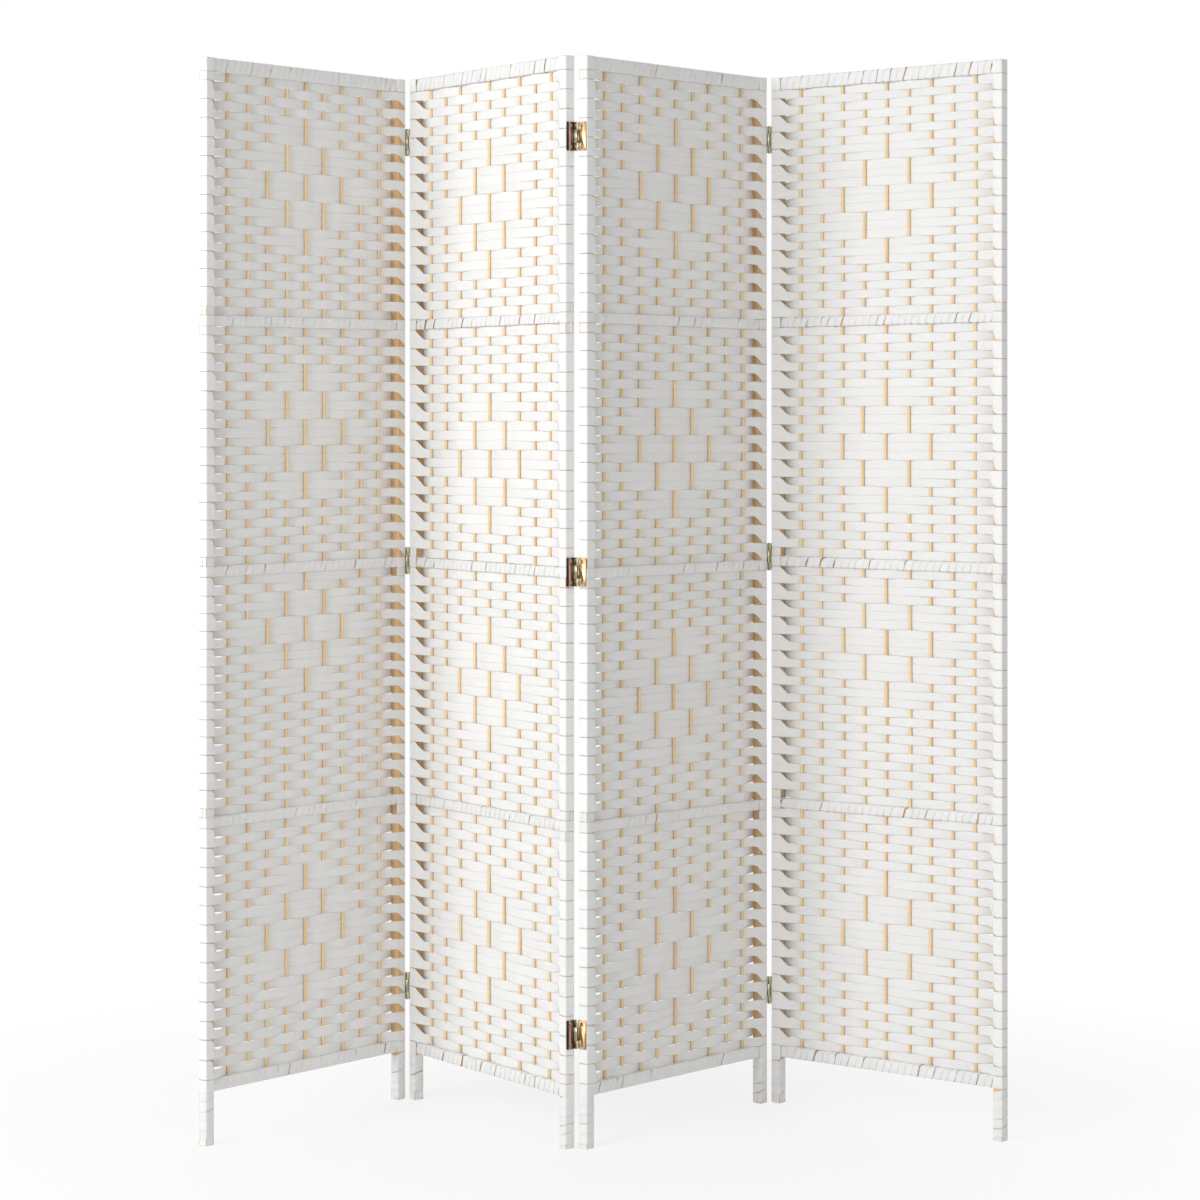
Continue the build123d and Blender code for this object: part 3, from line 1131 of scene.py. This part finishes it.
@dataclass(frozen=True)
class Winding:
    """Ribbon wound in many turns round a square bar.

    Attributes:
        half: Half sizes of the ribbon's centre line along the profile's two axes.
        corner: Radius of the corners.
    """

    CORNER_ANGLES = (4.0, 45.0, 86.0)
    FULL_PITCH = 0.93
    PITCH_SPREAD = 0.08
    LEAN_SPREAD = 0.05
    WIDTH = (1.13, 0.04)
    OPEN_BY = 0.165
    TONE_SPREAD = 0.2

    half: tuple[float, float]
    corner: float

    def profile(self) -> tuple[Array, Array]:
        """A rounded rectangle: three points on each corner's arc and one in the middle of each side.

        Returns:
            Points by 2, anticlockwise, and their outward unit vectors.
        """
        half = np.array(self.half)
        points, normals = [], []
        for quarter, signs in enumerate(((1, 1), (-1, 1), (-1, -1), (1, -1))):
            angle = np.radians(90 * quarter + np.array(self.CORNER_ANGLES))
            arc = join(np.cos(angle), np.sin(angle))
            side = np.radians(90 * (quarter + 1))
            normal = join(np.cos(side), np.sin(side))[None]
            points += [(half - self.corner) * signs + self.corner * arc, normal * half]
            normals += [arc, normal]
        return np.concatenate(points), np.concatenate(normals)

    def turns(
        self, seed: int, start: float, end: float, lean: float, open_share: float
    ) -> tuple[Array, Array, Array, Array, Array]:
        """Lays the turns from start to end, each a little different in width and lean.

        Place along the bar is the turn's number plus the share of the turn, times the pitch, plus
        the turn's own lean times the height of the point in the profile, one way on the front and
        the other way on the back.

        Args:
            seed: Starts the random draws.
            start: Where the first turn's middle starts.
            end: Where the last turn ends.
            lean: How far the turns lean for each millimetre of height.
            open_share: The share of turns that leave a narrow gap.

        Returns:
            Place along the bar, profile point, outward vector, width and tone of every station.
        """
        random = np.random.default_rng(seed)
        ring, normals = self.profile()
        count = max(1, round(abs(end - start) / (RIBBON_WIDTH * self.FULL_PITCH)))
        pitch = (end - start) / count
        around = len(ring)
        turn = np.arange(count * around) / around
        knots = np.concatenate([[0.0], random.normal(0.0, self.PITCH_SPREAD, count - 1), [0.0]])
        along = start + pitch * (turn + np.interp(turn, np.arange(count + 1), knots))
        leans = np.repeat(random.normal(lean, self.LEAN_SPREAD, count), around)
        along = along + np.tile(ring[:, 1] * ring[:, 0] / self.half[0], count) * leans
        shares = random.normal(*self.WIDTH, count)
        shares = np.where(random.random(count) < open_share, shares - self.OPEN_BY, shares)
        widths = abs(pitch) * np.repeat(shares, around)
        tone = np.repeat(random.uniform(0.0, self.TONE_SPREAD, count), around)
        return along, np.tile(ring, (count, 1)), np.tile(normals, (count, 1)), widths, tone


@dataclass(frozen=True)
class RailWinding:
    """The ribbon wound on one rail, with the wooden bar inside it.

    Attributes:
        plan: The panel's plan.
        rail: 0 for the top rail to 4 for the bottom one.
    """

    DEPTH = 14.0
    RIBBON_INSET = 0.15 + RIBBON_THICK
    RIBBON_CORNER = 1.6
    INTO_POST = 5.0
    LEAN = 0.2
    OPEN_SHARE = 0.22
    LAP = 0.84
    BAR_INSET = 1.9
    BAR_CORNER = 0.8
    BAR_STATIONS = 3
    FIRST_SEED = 1000

    plan: PanelPlan
    rail: int

    def winding(self, inset: float, corner: float) -> Winding:
        """Finds the rail's profile, drawn in.

        Args:
            inset: How far it is drawn in.
            corner: Radius of its corners.

        Returns:
            The winding with that profile.
        """
        return Winding((self.DEPTH / 2 - inset, RAIL_HEIGHTS[self.rail] / 2 - inset), corner)

    def add_ribbon(self, surface: Surface) -> None:
        """Adds the ribbon, each turn lapping over the one before.

        Args:
            surface: The mesh to add to.
        """
        winding = self.winding(self.RIBBON_INSET, self.RIBBON_CORNER)
        seed = self.FIRST_SEED * self.plan.number + self.rail
        first = POST_INNER - self.INTO_POST
        x, ring, normal, width, tone = winding.turns(
            seed, first, PANEL_WIDTH - first, self.LEAN, self.OPEN_SHARE)
        centre = self.plan.rails.height(self.rail, x, Line.CENTRE)
        middle = join(x, -ring[:, 0], centre + ring[:, 1])
        off = join(0.0, -normal[:, 0], normal[:, 1])
        RibbonStrip().lay(surface, middle, join(width, 0.0, 0.0) + off * self.LAP, off, tone)

    def add_bar(self, surface: Surface) -> None:
        """Adds the bar, from post to post.

        Args:
            surface: The mesh to add to.
        """
        ring, _ = self.winding(self.BAR_INSET, self.BAR_CORNER).profile()
        x = np.linspace(POST_INNER, PANEL_WIDTH - POST_INNER, self.BAR_STATIONS)[:, None]
        points = join(x, -ring[:, 0], self.plan.rails.height(self.rail, x, Line.CENTRE) + ring[:, 1])
        surface.add_tube(points, points[..., :2] * MM)


@dataclass
class PostCover:
    """The ribbon on one post outside the woven sections: leg, rail ends and top.

    Attributes:
        plan: The panel's plan.
        side: Left or right.
        surface: The mesh that the parts are added to.
        random: The cover's own random draws.
    """

    MIDDLE = POST_THICK / 2
    LEG_LIFT = 0.45
    LEG_CORNER = 1.7
    LEG_ENDS = (LEG_HEIGHT + 1.0, 7.6)
    LEG_OPEN_SHARE = 0.4
    LEG_LAP = 0.5
    FLOOR_PLAY = 0.05
    THIN_LIFT = 0.1
    FOOT_CORNER = 1.4
    FOOT_TURN = 17.0
    FOOT_PLAY = 0.3
    BAND_LIFT = 0.5
    BAND_CORNER = 1.8
    BAND_START = ((1.6, -1.6), (0.6, -0.2), (-1.0, 0.0))
    OUTER_X = 1.0
    PAST_CORNER = 3.0
    BAND_SPREAD = 0.2
    TONE_SPREAD = 0.16
    PLAIN_TONE = 0.1
    CAP_LIFT = 0.25
    CAP_DROP = 0.55
    CAP_START = ((0.0, -9.0), (0.0, -4.0), (0.0, -1.4), (-0.45, -0.4), (-1.4, 0.0))
    CAP_WIDTH = 16.6
    CAP_CUP = -0.15
    TOP_PLAY = 0.4
    FIRST_SEED = 2000

    plan: PanelPlan
    side: Side
    surface: Surface = field(default_factory=Surface)
    random: np.random.Generator = field(init=False)

    def __post_init__(self) -> None:
        """Starts the random draws."""
        self.random = np.random.default_rng(self.seed)

    @property
    def seed(self) -> int:
        """Number that starts the random draws.

        Returns:
            The number.
        """
        return self.FIRST_SEED * self.plan.number + self.side.value

    def x(self, distance: Array | float) -> Array | float:
        """Place along the panel of a distance from the post's outer face.

        Args:
            distance: One or many distances.

        Returns:
            The places.
        """
        return distance if self.side is Side.LEFT else PANEL_WIDTH - distance

    def wrapped(self, ring: Array, normal: Array, z: Array | float) -> tuple[Array, Array]:
        """Lays a profile round the post, turned for its side.

        Args:
            ring: Points of the profile.
            normal: Their outward vectors.
            z: Their heights.

        Returns:
            The points and their outward vectors, by 3.
        """
        turn = self.side.value
        middle = join(self.x(self.MIDDLE + ring[:, 0]), turn * ring[:, 1], z)
        return middle, join(-turn * normal[:, 0], turn * normal[:, 1], 0.0)

    def add_leg(self) -> None:
        """Adds the turns on the leg, which go all the way round it."""
        half = POST_WOOD / 2 + self.LEG_LIFT
        winding = Winding((half, half), self.LEG_CORNER)
        z, ring, normal, width, tone = winding.turns(self.seed, *self.LEG_ENDS, 0.0, self.LEG_OPEN_SHARE)
        z = np.clip(z, width / 2 + self.FLOOR_PLAY, None)
        middle, off = self.wrapped(ring, normal, z)
        RibbonStrip().lay(self.surface, middle, join(0.0, 0.0, -width) + off * self.LEG_LAP, off, tone)

    def add_foot(self) -> None:
        """Adds the first turn at the foot, a level ring under the slanting ones."""
        reach = POST_WOOD / 2 + self.THIN_LIFT
        ring, normal = Winding((reach, reach), self.FOOT_CORNER).profile()
        middle, off = self.wrapped(ring, normal, self.FOOT_TURN / 2)
        across = np.array([[0.0, 0.0, self.FOOT_PLAY - self.FOOT_TURN]])
        RibbonStrip(THIN_RIBBON).lay(self.surface, middle, across, off, self.PLAIN_TONE, closed=True)

    def add_band(self, high: float, low: float, lift: float, strip: RibbonStrip) -> None:
        """Adds a band round the post's three outer sides, its ends turned in at the rail.

        Args:
            high: Its upper edge.
            low: Its lower edge.
            lift: How far its centre line stands off the wood.
            strip: The ribbon's section.
        """
        face, outer = POST_WOOD / 2 + lift, self.OUTER_X - lift
        half = np.concatenate([
            np.array(self.BAND_START) + (POST_INNER, face),
            [(self.MIDDLE, face)],
            post_corner(outer, face, self.BAND_CORNER),
            [(outer, self.PAST_CORNER)],
        ])
        path = np.concatenate([half * (1, -1), [(outer, 0.0)], half[::-1]])
        high = high - abs(self.random.normal(0.0, self.BAND_SPREAD))
        low = low + abs(self.random.normal(0.0, self.BAND_SPREAD))
        middle = join(self.x(path[:, 0]), path[:, 1], (high + low) / 2)
        way_x, way_y = unit(np.gradient(middle[:, :2], axis=0)).T * self.side.value
        tone = self.random.uniform(0, self.TONE_SPREAD)
        strip.lay(self.surface, middle, np.array([[0.0, 0.0, low - high]]), join(way_y, -way_x, 0.0), tone)

    def add_fillers(self) -> None:
        """Adds a thin band where a section's first or last pick leaves the post bare.

        Picks in front spread upwards at a left post and downwards at a right one, and picks behind
        the other way, so the first or the last pick's height has nothing on one of its faces.
        """
        at = self.x(self.MIDDLE)
        thin = RibbonStrip(THIN_RIBBON)
        left = self.side is Side.LEFT
        for section, pattern in enumerate(self.plan.sections):
            top = self.plan.rails.height(section, at, Line.LOW)
            bottom = self.plan.rails.height(section + 1, at, Line.HIGH)
            pick = (top - bottom) / pattern.picks
            front = pattern.front_rows()
            if front[0] == left:
                self.add_band(top, top - pick, self.THIN_LIFT, thin)
            if front[-1] != left:
                self.add_band(bottom + pick, bottom, self.THIN_LIFT, thin)

    def add_cap(self) -> None:
        """Adds the ribbon folded over the post's top from front to back."""
        face, top = POST_WOOD / 2 + self.CAP_LIFT, HEIGHT - self.CAP_DROP
        half = np.array(self.CAP_START) + (face, top)
        path = np.concatenate([half * (-1, 1), [(0.0, top)], half[::-1]])
        middle = join(self.x(self.MIDDLE), path[:, 0], path[:, 1])
        way_y, way_z = unit(np.gradient(path, axis=0)).T
        across = np.array([[self.CAP_WIDTH, 0.0, 0.0]])
        normal = join(0.0, -way_z, way_y)
        RibbonStrip().lay(self.surface, middle, across, normal, self.PLAIN_TONE, self.CAP_CUP)

    def drawn(self) -> Surface:
        """Draws the post's cover.

        Returns:
            The mesh with all its parts.
        """
        self.add_leg()
        self.add_foot()
        self.add_cap()
        self.add_fillers()
        at = self.x(self.MIDDLE)
        for rail in range(len(RAIL_CENTRES)):
            high = self.plan.rails.height(rail, at, Line.HIGH) if rail else HEIGHT - self.TOP_PLAY
            low = self.plan.rails.height(rail, at, Line.LOW)
            self.add_band(high, low, self.BAND_LIFT, RibbonStrip())
        return self.surface


# Tints across a hinge leaf, painted reflection and highlight: the copy in shade is dark with a painted pink
# highlight band.
LEAF_TINTS_IN_SHADE = (
    (0.05, (0.03, 0.02, 0.015)), (0.25, (0.10, 0.06, 0.05)), (0.36, (0.62, 0.42, 0.44)),
    (0.50, (0.14, 0.07, 0.05)), (0.85, (0.10, 0.06, 0.03)), (0.98, (0.30, 0.32, 0.16)),
)
# The leaf's copy in light: bright painted reflection and highlight in orange and yellow.
LEAF_TINTS_IN_LIGHT = (
    (0.02, (0.36, 0.16, 0.08)), (0.16, (0.78, 0.36, 0.20)), (0.32, (1.0, 0.80, 0.36)),
    (0.55, (1.0, 0.90, 0.55)), (0.78, (0.95, 0.66, 0.52)), (0.96, (0.62, 0.50, 0.24)),
)
# Tints round the barrel and pin: a bright painted highlight band between darker painted shade on either
# side.
BARREL_HIGHLIGHT_TINTS = (
    (0.10, (0.22, 0.21, 0.15)), (0.35, (0.66, 0.68, 0.50)), (0.52, (0.84, 0.86, 0.66)),
    (0.68, (0.60, 0.52, 0.44)), (0.90, (0.20, 0.18, 0.12)),
)
RAW_POST = WoodFinish("raw post wood", (0.82, 0.56, 0.31), (0.62, 0.39, 0.19), 0.6)
PALE_STICK = WoodFinish(
    "pale stick wood", (0.92, 0.71, 0.44), (0.78, 0.55, 0.31), 0.45, Grain((420.0, 420.0, 15.0), 5.0))


@dataclass
class Finishes:
    """The materials that the pieces share."""

    ribbon: Material = field(default_factory=RibbonFinish().material)
    post_wood: Material = field(default_factory=RAW_POST.material)
    stick_wood: Material = field(default_factory=PALE_STICK.material)
    # Two copies of one leaf metal: one with painted shade and dark painted reflection, one with painted
    # light and bright painted reflection.
    dark_leaf: Material = field(default_factory=LeafFinish("hinge leaf in shade", LEAF_TINTS_IN_SHADE).material)
    leaf_in_light: Material = field(default_factory=LeafFinish("hinge leaf in light", LEAF_TINTS_IN_LIGHT).material)
    barrel: Material = field(default_factory=LeafFinish("hinge barrel", BARREL_HIGHLIGHT_TINTS).material)
    screw: Material = field(default_factory=ScrewFinish().material)


@dataclass
class Panel:
    """One panel of the screen: posts, rails, sticks and woven sections."""

    plan: PanelPlan
    finishes: Finishes

    def build(self) -> None:
        """Makes all of the panel's pieces and lets them ride on its body."""
        ribbon, wood = self.finishes.ribbon, self.finishes.post_wood
        self.add(self.plan.stakes.drawn(), "sticks", self.finishes.stick_wood, "stake_wood", "stakes")
        for section in range(len(self.plan.sections)):
            weave = Weave(self.plan, section).drawn()
            self.add(weave, f"weave_{section + 1}", ribbon, "ribbon", "woven_sections")
        windings, bars = Surface(), Surface()
        for rail in range(len(RAIL_CENTRES)):
            winding = RailWinding(self.plan, rail)
            winding.add_ribbon(windings)
            winding.add_bar(bars)
        nodes = ("top_rail", "middle_rails", "bottom_rail")
        self.add(windings, "rail_windings", ribbon, "ribbon_wound_wood", *nodes)
        self.add(bars, "rail_bars", wood, "raw_wood", *nodes)
        for side in Side:
            post = f"{side.word}_post"
            self.add(PostCover(self.plan, side).drawn(), f"{post}_cover", ribbon, "ribbon", f"{post}_ribbon")
            materials = frame["nodes"][f"panel_{self.plan.number}_{post}"].data.materials
            materials.clear()
            materials.append(wood)

    def add(self, surface: Surface, name: str, material: Material, slot: str, *nodes: str) -> None:
        """Makes one of the panel's pieces.

        Args:
            surface: Its mesh.
            name: Its name without the panel's.
            material: Its finish.
            slot: The record's material slot.
            *nodes: The names of the nodes that it stands for, without the panel's.
        """
        place = PanelPlace.of(self.plan.number)
        full = [f"{place.name}_{part}" for part in (name, *nodes)]
        surface.make(full[0], place, material, slot, *full[1:])


@dataclass(frozen=True)
class Joint:
    """The three hinges between two panels.

    Attributes:
        number: The panel on its left.
        heights: Heights of the hinges' middles.
        pin_face: -1 where the pins stand at the front and 1 at the back.
        outer: The side whose leaves have the two outer knuckles and carry the pins.
    """

    number: int
    heights: Triple
    pin_face: int
    outer: Side

    @property
    def name(self) -> str:
        """The hinge nodes' first words.

        Returns:
            The words.
        """
        return f"hinge_{self.number}{self.number + 1}"


@dataclass(frozen=True)
class HingeHalf:
    """One side of a joint's hinges, drawn on a panel's left end with the pins at the front.

    Attributes:
        joint: The joint.
        side: The left side stands on its panel's right end, the right side on the left end.
    """

    LEAF_HALF = 22.5
    LEAF_THICK = 1.5
    LEAF_CORNER = 1.6
    ARM_CORNER = 0.1
    ARM_LAP = 1.0
    EDGE_BREAK = 0.25
    FAR_EDGE = 7.5
    NEAR_EDGE = -7.9
    AXIS_X = -2.2
    AXIS_Y = -10.7
    BARREL = 2.5
    BARREL_BREAK = (0.3, 0.25)
    BARREL_SIDES = 20
    KNUCKLE = 12.0
    KNUCKLE_PLAY = 0.3
    PIN_END = ((22.4, 1.25), (22.55, 1.9), (22.75, 1.7), (22.93, 1.1), (23.0, 0.3))
    PIN_SIDES = 16
    SCREW_Y = -0.2
    SCREW_RISE = 16.5
    SCREW_HEAD = 2.75
    SCREW_OUTLINE = (
        (12.5, 0.3), (11.0, 1.3), (0.0, 1.4), (-1.45, 2.75), (-1.62, 2.55), (-1.8, 1.4), (-1.84, 0.3),
    )
    SCREW_SIDES = 16

    joint: Joint
    side: Side

    def plate(self, y_span: tuple[float, float], z_span: tuple[float, float], corner: float) -> Form:
        """Draws a leaf's plate: a rectangle with round corners, its edges broken a little.

        Args:
            y_span: From edge to edge.
            z_span: From bottom to top.
            corner: Radius of the corners.

        Returns:
            Rings by points by 3, and their UV: the share of the way across the leaf and the height.
        """
        angle = (QUARTER + np.radians([[0], [90], [180], [270]])).ravel()
        sy = np.repeat([1, -1, -1, 1], len(QUARTER))
        sz = np.repeat([1, 1, -1, -1], len(QUARTER))
        half_y, half_z = np.ptp(y_span) / 2, np.ptp(z_span) / 2
        broken = min(self.EDGE_BREAK, corner / 2)
        x = np.array([[0.0], [broken - self.LEAF_THICK], [-self.LEAF_THICK]])
        radius = corner - np.array([[0.0], [0.0], [broken]])
        y = np.mean(y_span) + sy * (half_y - corner) + radius * np.cos(angle)
        z = np.mean(z_span) + sz * (half_z - corner) + radius * np.sin(angle)
        across = (self.FAR_EDGE - y) / (self.FAR_EDGE - self.NEAR_EDGE)
        return join(x, y, z), join(across, z * MM)

    def turned(self, outline: tuple[tuple[float, float], ...], sides: int) -> Form:
        """Draws a turned form round the pins' axis.

        Args:
            outline: Heights and radii.
            sides: Number of points round it.

        Returns:
            Rings by points by 3, and their UV: the share of the way round and the height.
        """
        z, radius = np.array(outline).T[..., None]
        angle = round_angles(sides)
        rings = join(self.AXIS_X + radius * np.cos(angle), self.AXIS_Y + radius * np.sin(angle), z)
        return rings, join(0.5 + 0.5 * np.sin(angle), z * MM)

    def knuckle_spans(self) -> list[tuple[float, float]]:
        """Heights of this side's knuckles from the hinge's middle.

        Returns:
            The lower and upper end of each knuckle.
        """
        inner = self.LEAF_HALF - self.KNUCKLE
        if self.joint.outer is self.side:
            return [(-self.LEAF_HALF, -inner), (inner, self.LEAF_HALF)]
        return [(self.KNUCKLE_PLAY - inner, inner - self.KNUCKLE_PLAY)]

    def leaf(self) -> list[Form]:
        """Draws a leaf: its plate and the arms that run out to the knuckles.

        Returns:
            The forms.
        """
        width, height = (self.NEAR_EDGE, self.FAR_EDGE), (-self.LEAF_HALF, self.LEAF_HALF)
        reach = (self.AXIS_Y, self.NEAR_EDGE + self.ARM_LAP)
        arms = [self.plate(reach, span, self.ARM_CORNER) for span in self.knuckle_spans()]
        return [self.plate(width, height, self.LEAF_CORNER), *arms]

    def knuckles(self) -> list[Form]:
        """Draws this side's knuckles.

        Returns:
            The forms.
        """
        less, by = self.BARREL_BREAK
        forms = []
        for low, high in self.knuckle_spans():
            outline = (
                (low, self.BARREL - less), (low + by, self.BARREL),
                (high - by, self.BARREL), (high, self.BARREL - less),
            )
            forms.append(self.turned(outline, self.BARREL_SIDES))
        return forms

    def screws(self) -> list[Form]:
        """Draws a leaf's two screws: cone heads in the leaf and shanks in the post.

        Returns:
            The forms.
        """
        x, radius = np.array(self.SCREW_OUTLINE).T[..., None]
        angle = round_angles(self.SCREW_SIDES)
        y, z = radius * np.cos(angle), radius * np.sin(angle)
        uv = join(y, z) / (2 * self.SCREW_HEAD) + 0.5
        return [(join(x, y + self.SCREW_Y, z + rise), uv) for rise in (-self.SCREW_RISE, self.SCREW_RISE)]

    def pin(self) -> list[Form]:
        """Draws the pin, with a low dome at both ends.

        Returns:
            The one form.
        """
        lower = tuple((-z, radius) for z, radius in reversed(self.PIN_END))
        return [self.turned(lower + self.PIN_END, self.PIN_SIDES)]

    def laid(self, forms: list[Form]) -> Surface:
        """Lays drawn forms at this side's end and face of the panel, for all three hinges.

        Args:
            forms: The forms of one hinge.

        Returns:
            The mesh with all of them.
        """
        surface = Surface()
        for height in self.joint.heights:
            for rings, uv in forms:
                x, y, z = np.moveaxis(rings, -1, 0)
                x = PANEL_WIDTH - x if self.side is Side.LEFT else x
                surface.add_tube(join(x, -self.joint.pin_face * y, z + height), uv)
        return surface

    def build(self, finishes: Finishes) -> None:
        """Makes this side's pieces and lets them ride on its panel.

        Args:
            finishes: The screen's materials.
        """
        left = self.side is Side.LEFT
        place = PanelPlace.of(self.joint.number if left else self.joint.number + 1)
        side = self.side.word
        # The left side's leaves take the copy with painted shade, the right side's the copy with painted
        # light.
        metal = finishes.dark_leaf if left else finishes.leaf_in_light
        pieces = [
            (f"{side}_plates", self.leaf(), metal, "hinge_metal", f"{side}_leaves"),
            (f"{side}_knuckles", self.knuckles(), finishes.barrel, "hinge_metal", f"{side}_leaves"),
            (f"{side}_screw_set", self.screws(), finishes.screw, "screw_metal", f"{side}_screws"),
        ]
        if self.joint.outer is self.side:
            pieces.append(("pin_rods", self.pin(), finishes.barrel, "hinge_metal", "pins"))
        for name, forms, material, slot, node in pieces:
            hinge = self.joint.name
            self.laid(forms).make(f"{hinge}_{name}", place, material, slot, f"{hinge}_{node}")


JOINTS = (
    Joint(1, (188.0, 897.0, 1595.0), -1, Side.RIGHT),
    Joint(2, (177.0, 896.0, 1574.0), 1, Side.LEFT),
    Joint(3, (186.0, 905.0, 1597.0), -1, Side.RIGHT),
)

PLANS = (
    PanelPlan(
        number=1,
        sections=tuple(SectionPattern(*pair) for pair in ((26, 12), (26, 12), (27, 7), (26, 13))),
        left_fan=PostFan(0.6, -6.0, 0.2, 2.0),
        right_fan=PostFan(2.5, -15.0, 1.0),
        rails=Rails(((0, 0), (-3, -1), (0, 0), (4, 1), (2, -1))),
        stakes=Stakes((
            (-2, 1, 0, 2, 1, -1, -2, 0, 1),
            (-1, 0, 2, 1, -1, 0, 1, 2, -1),
            (1, -1, 1, 0, 2, 1, -1, 0, 0),
            (0, 2, -1, 1, 0, -2, 1, 1, 2),
        )),
    ),
    PanelPlan(
        number=2,
        sections=tuple(SectionPattern(*pair) for pair in ((25, 14), (25, 15), (26, 13), (26, 13))),
        left_fan=PostFan(19.0, 1.5, 0.85),
        right_fan=PostFan(1.8, 0.2, 0.8),
        rails=Rails(((0, 0), (-1, 1), (0, 0), (1, 2), (-3, 0))),
        stakes=Stakes((
            (-3, -1, 0, 1, 0, -1, 1, 2, 3),
            (-1, 1, -1, 0, 1, 2, 0, 1, 1),
            (1, 0, -2, 1, 0, 1, -1, 2, 0),
            (0, -1, 1, 2, -1, 0, 2, 0, -1),
        )),
    ),
    PanelPlan(
        number=3,
        sections=tuple(SectionPattern(*pair) for pair in ((25, 12), (26, 14), (26, 14), (26, 15))),
        left_fan=PostFan(5.0, -3.0, 0.35, 2.4),
        right_fan=PostFan(10.0, -4.0, 1.0),
        rails=Rails(((0, 0), (1, -1), (-1, -4), (0, -5), (1, -4))),
        stakes=Stakes((
            (-3, -2, -1, 0, 1, 1, -1, -1, -2),
            (-5, -5, -4, -4, -3, -2, 0, 2, 3),
            (-5, -5, -5, -5, -5, -4, -3, -2, -3),
            (-3, -4, -2, -3, -1, -2, 0, 1, 0),
        )),
    ),
    PanelPlan(
        number=4,
        sections=tuple(SectionPattern(*pair) for pair in ((27, 14), (26, 14), (27, 9), (27, 14))),
        left_fan=PostFan(15.0, 0.5, 0.8),
        right_fan=PostFan(0.6, -7.0, 0.22, 1.4),
        rails=Rails(((0, 0), (2, 4), (3, 4), (-2, 5), (-4, 2))),
        stakes=Stakes((
            (-1, 0, -1, 0, 1, 1, 2, 1, 1),
            (-1, -2, -2, -4, -2, 1, 0, 0, -1),
            (2, -2, 0, -1, 0, 4, 1, 1, -2),
            (1, 0, -1, 1, -2, 2, 0, -1, 1),
        )),
    ),
)


@dataclass(frozen=True)
class Studio:
    """Floor, soft light and the photograph's camera, in metres, watts and degrees.

    Attributes:
        lamps: Name, place, side and power of each square soft lamp.
    """

    lamps: tuple[tuple[str, Triple, float, float], ...] = (
        ("key", (-3.4, -3.2, 2.4), 2.6, 134.0),
        ("fill", (3.4, -3.6, 2.2), 3.0, 12.0),
        ("back", (0.6, 4.4, 2.6), 3.0, 45.0),
    )
    lamps_look_at: Triple = (0.0, 0.0, 0.85)
    room_light: float = 0.53
    floor_reach: float = 30.0
    camera_place: Triple = (-0.0073, -5.0615, 1.1435)
    camera_tilt: float = 0.15
    lens: float = 94.14
    sensor: float = 36.0
    shift: float = -0.16275
    clip_end: float = 100.0

    def build(self) -> None:
        """Makes the floor, the lamps, the white room and the camera."""
        self.floor()
        self.room()
        for lamp in self.lamps:
            self.lamp(*lamp)
        self.camera()

    @staticmethod
    def added(name: str, data: bpy.types.ID) -> bpy.types.Object:
        """Adds an object to the scene.

        Args:
            name: Its name.
            data: Its mesh, light or camera.

        Returns:
            The object.
        """
        made = bpy.data.objects.new(name, data)
        bpy.context.scene.collection.objects.link(made)
        return made

    def floor(self) -> None:
        """Makes a wide flat floor at height zero."""
        mesh = bpy.data.meshes.new("floor")
        signs = ((-1, -1), (1, -1), (1, 1), (-1, 1))
        points = [(x * self.floor_reach, y * self.floor_reach, 0) for x, y in signs]
        mesh.from_pydata(points, [], [(0, 1, 2, 3)])
        mesh.materials.append(RoomFinish().material())
        self.added("floor", mesh)

    def room(self) -> None:
        """Gives the world a soft white light, seen as plain white."""
        world = bpy.data.worlds.new("white room")
        bpy.context.scene.world = world
        world.use_nodes = True
        board = NodeBoard(world.node_tree)
        soft = board.node("Background", {"Color": WHITE, "Strength": self.room_light}).outputs[0]
        plain = board.node("Background", {"Color": WHITE}).outputs[0]
        board.node("OutputWorld", {0: board.mixed(board.seen_straight(), soft, plain)})

    def lamp(self, name: str, place: Triple, size: float, power: float) -> None:
        """Adds a square soft lamp that looks at the middle of the screen.

        Args:
            name: The lamp's name.
            place: Where it hangs.
            size: Its side.
            power: Its power.
        """
        data = bpy.data.lights.new(name, "AREA")
        data.size = size
        data.energy = power
        lamp = self.added(name, data)
        lamp.location = place
        way = Vector(self.lamps_look_at) - Vector(place)
        lamp.rotation_euler = way.to_track_quat("-Z", "Y").to_euler()

    def camera(self) -> None:
        """Sets the camera that was fitted to the photograph."""
        data = bpy.data.cameras.new("camera")
        data.lens = self.lens
        data.sensor_width = self.sensor
        data.shift_y = self.shift
        data.clip_end = self.clip_end
        camera = self.added("camera", data)
        camera.location = self.camera_place
        camera.rotation_euler = (math.radians(90 + self.camera_tilt), 0.0, 0.0)
        bpy.context.scene.camera = camera
        bpy.context.scene.view_settings.view_transform = "Standard"


def plain(box: Iterable[Iterable[float]]) -> list[list[float]]:
    """Turns the two corners of a box into plain lists of numbers.

    Args:
        box: The lower and the upper corner.

    Returns:
        The same corners.
    """
    return [[float(v) for v in corner] for corner in box]


def main() -> None:
    """Builds the studio and the screen."""
    logging.basicConfig(level=logging.INFO, format="%(name)s: %(message)s")
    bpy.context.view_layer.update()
    Studio().build()
    finishes = Finishes()
    for plan in PLANS:
        Panel(plan, finishes).build()
    for joint in JOINTS:
        for side in Side:
            HingeHalf(joint, side).build(finishes)
    bpy.context.view_layer.update()


if __name__ == "__main__":
    main()
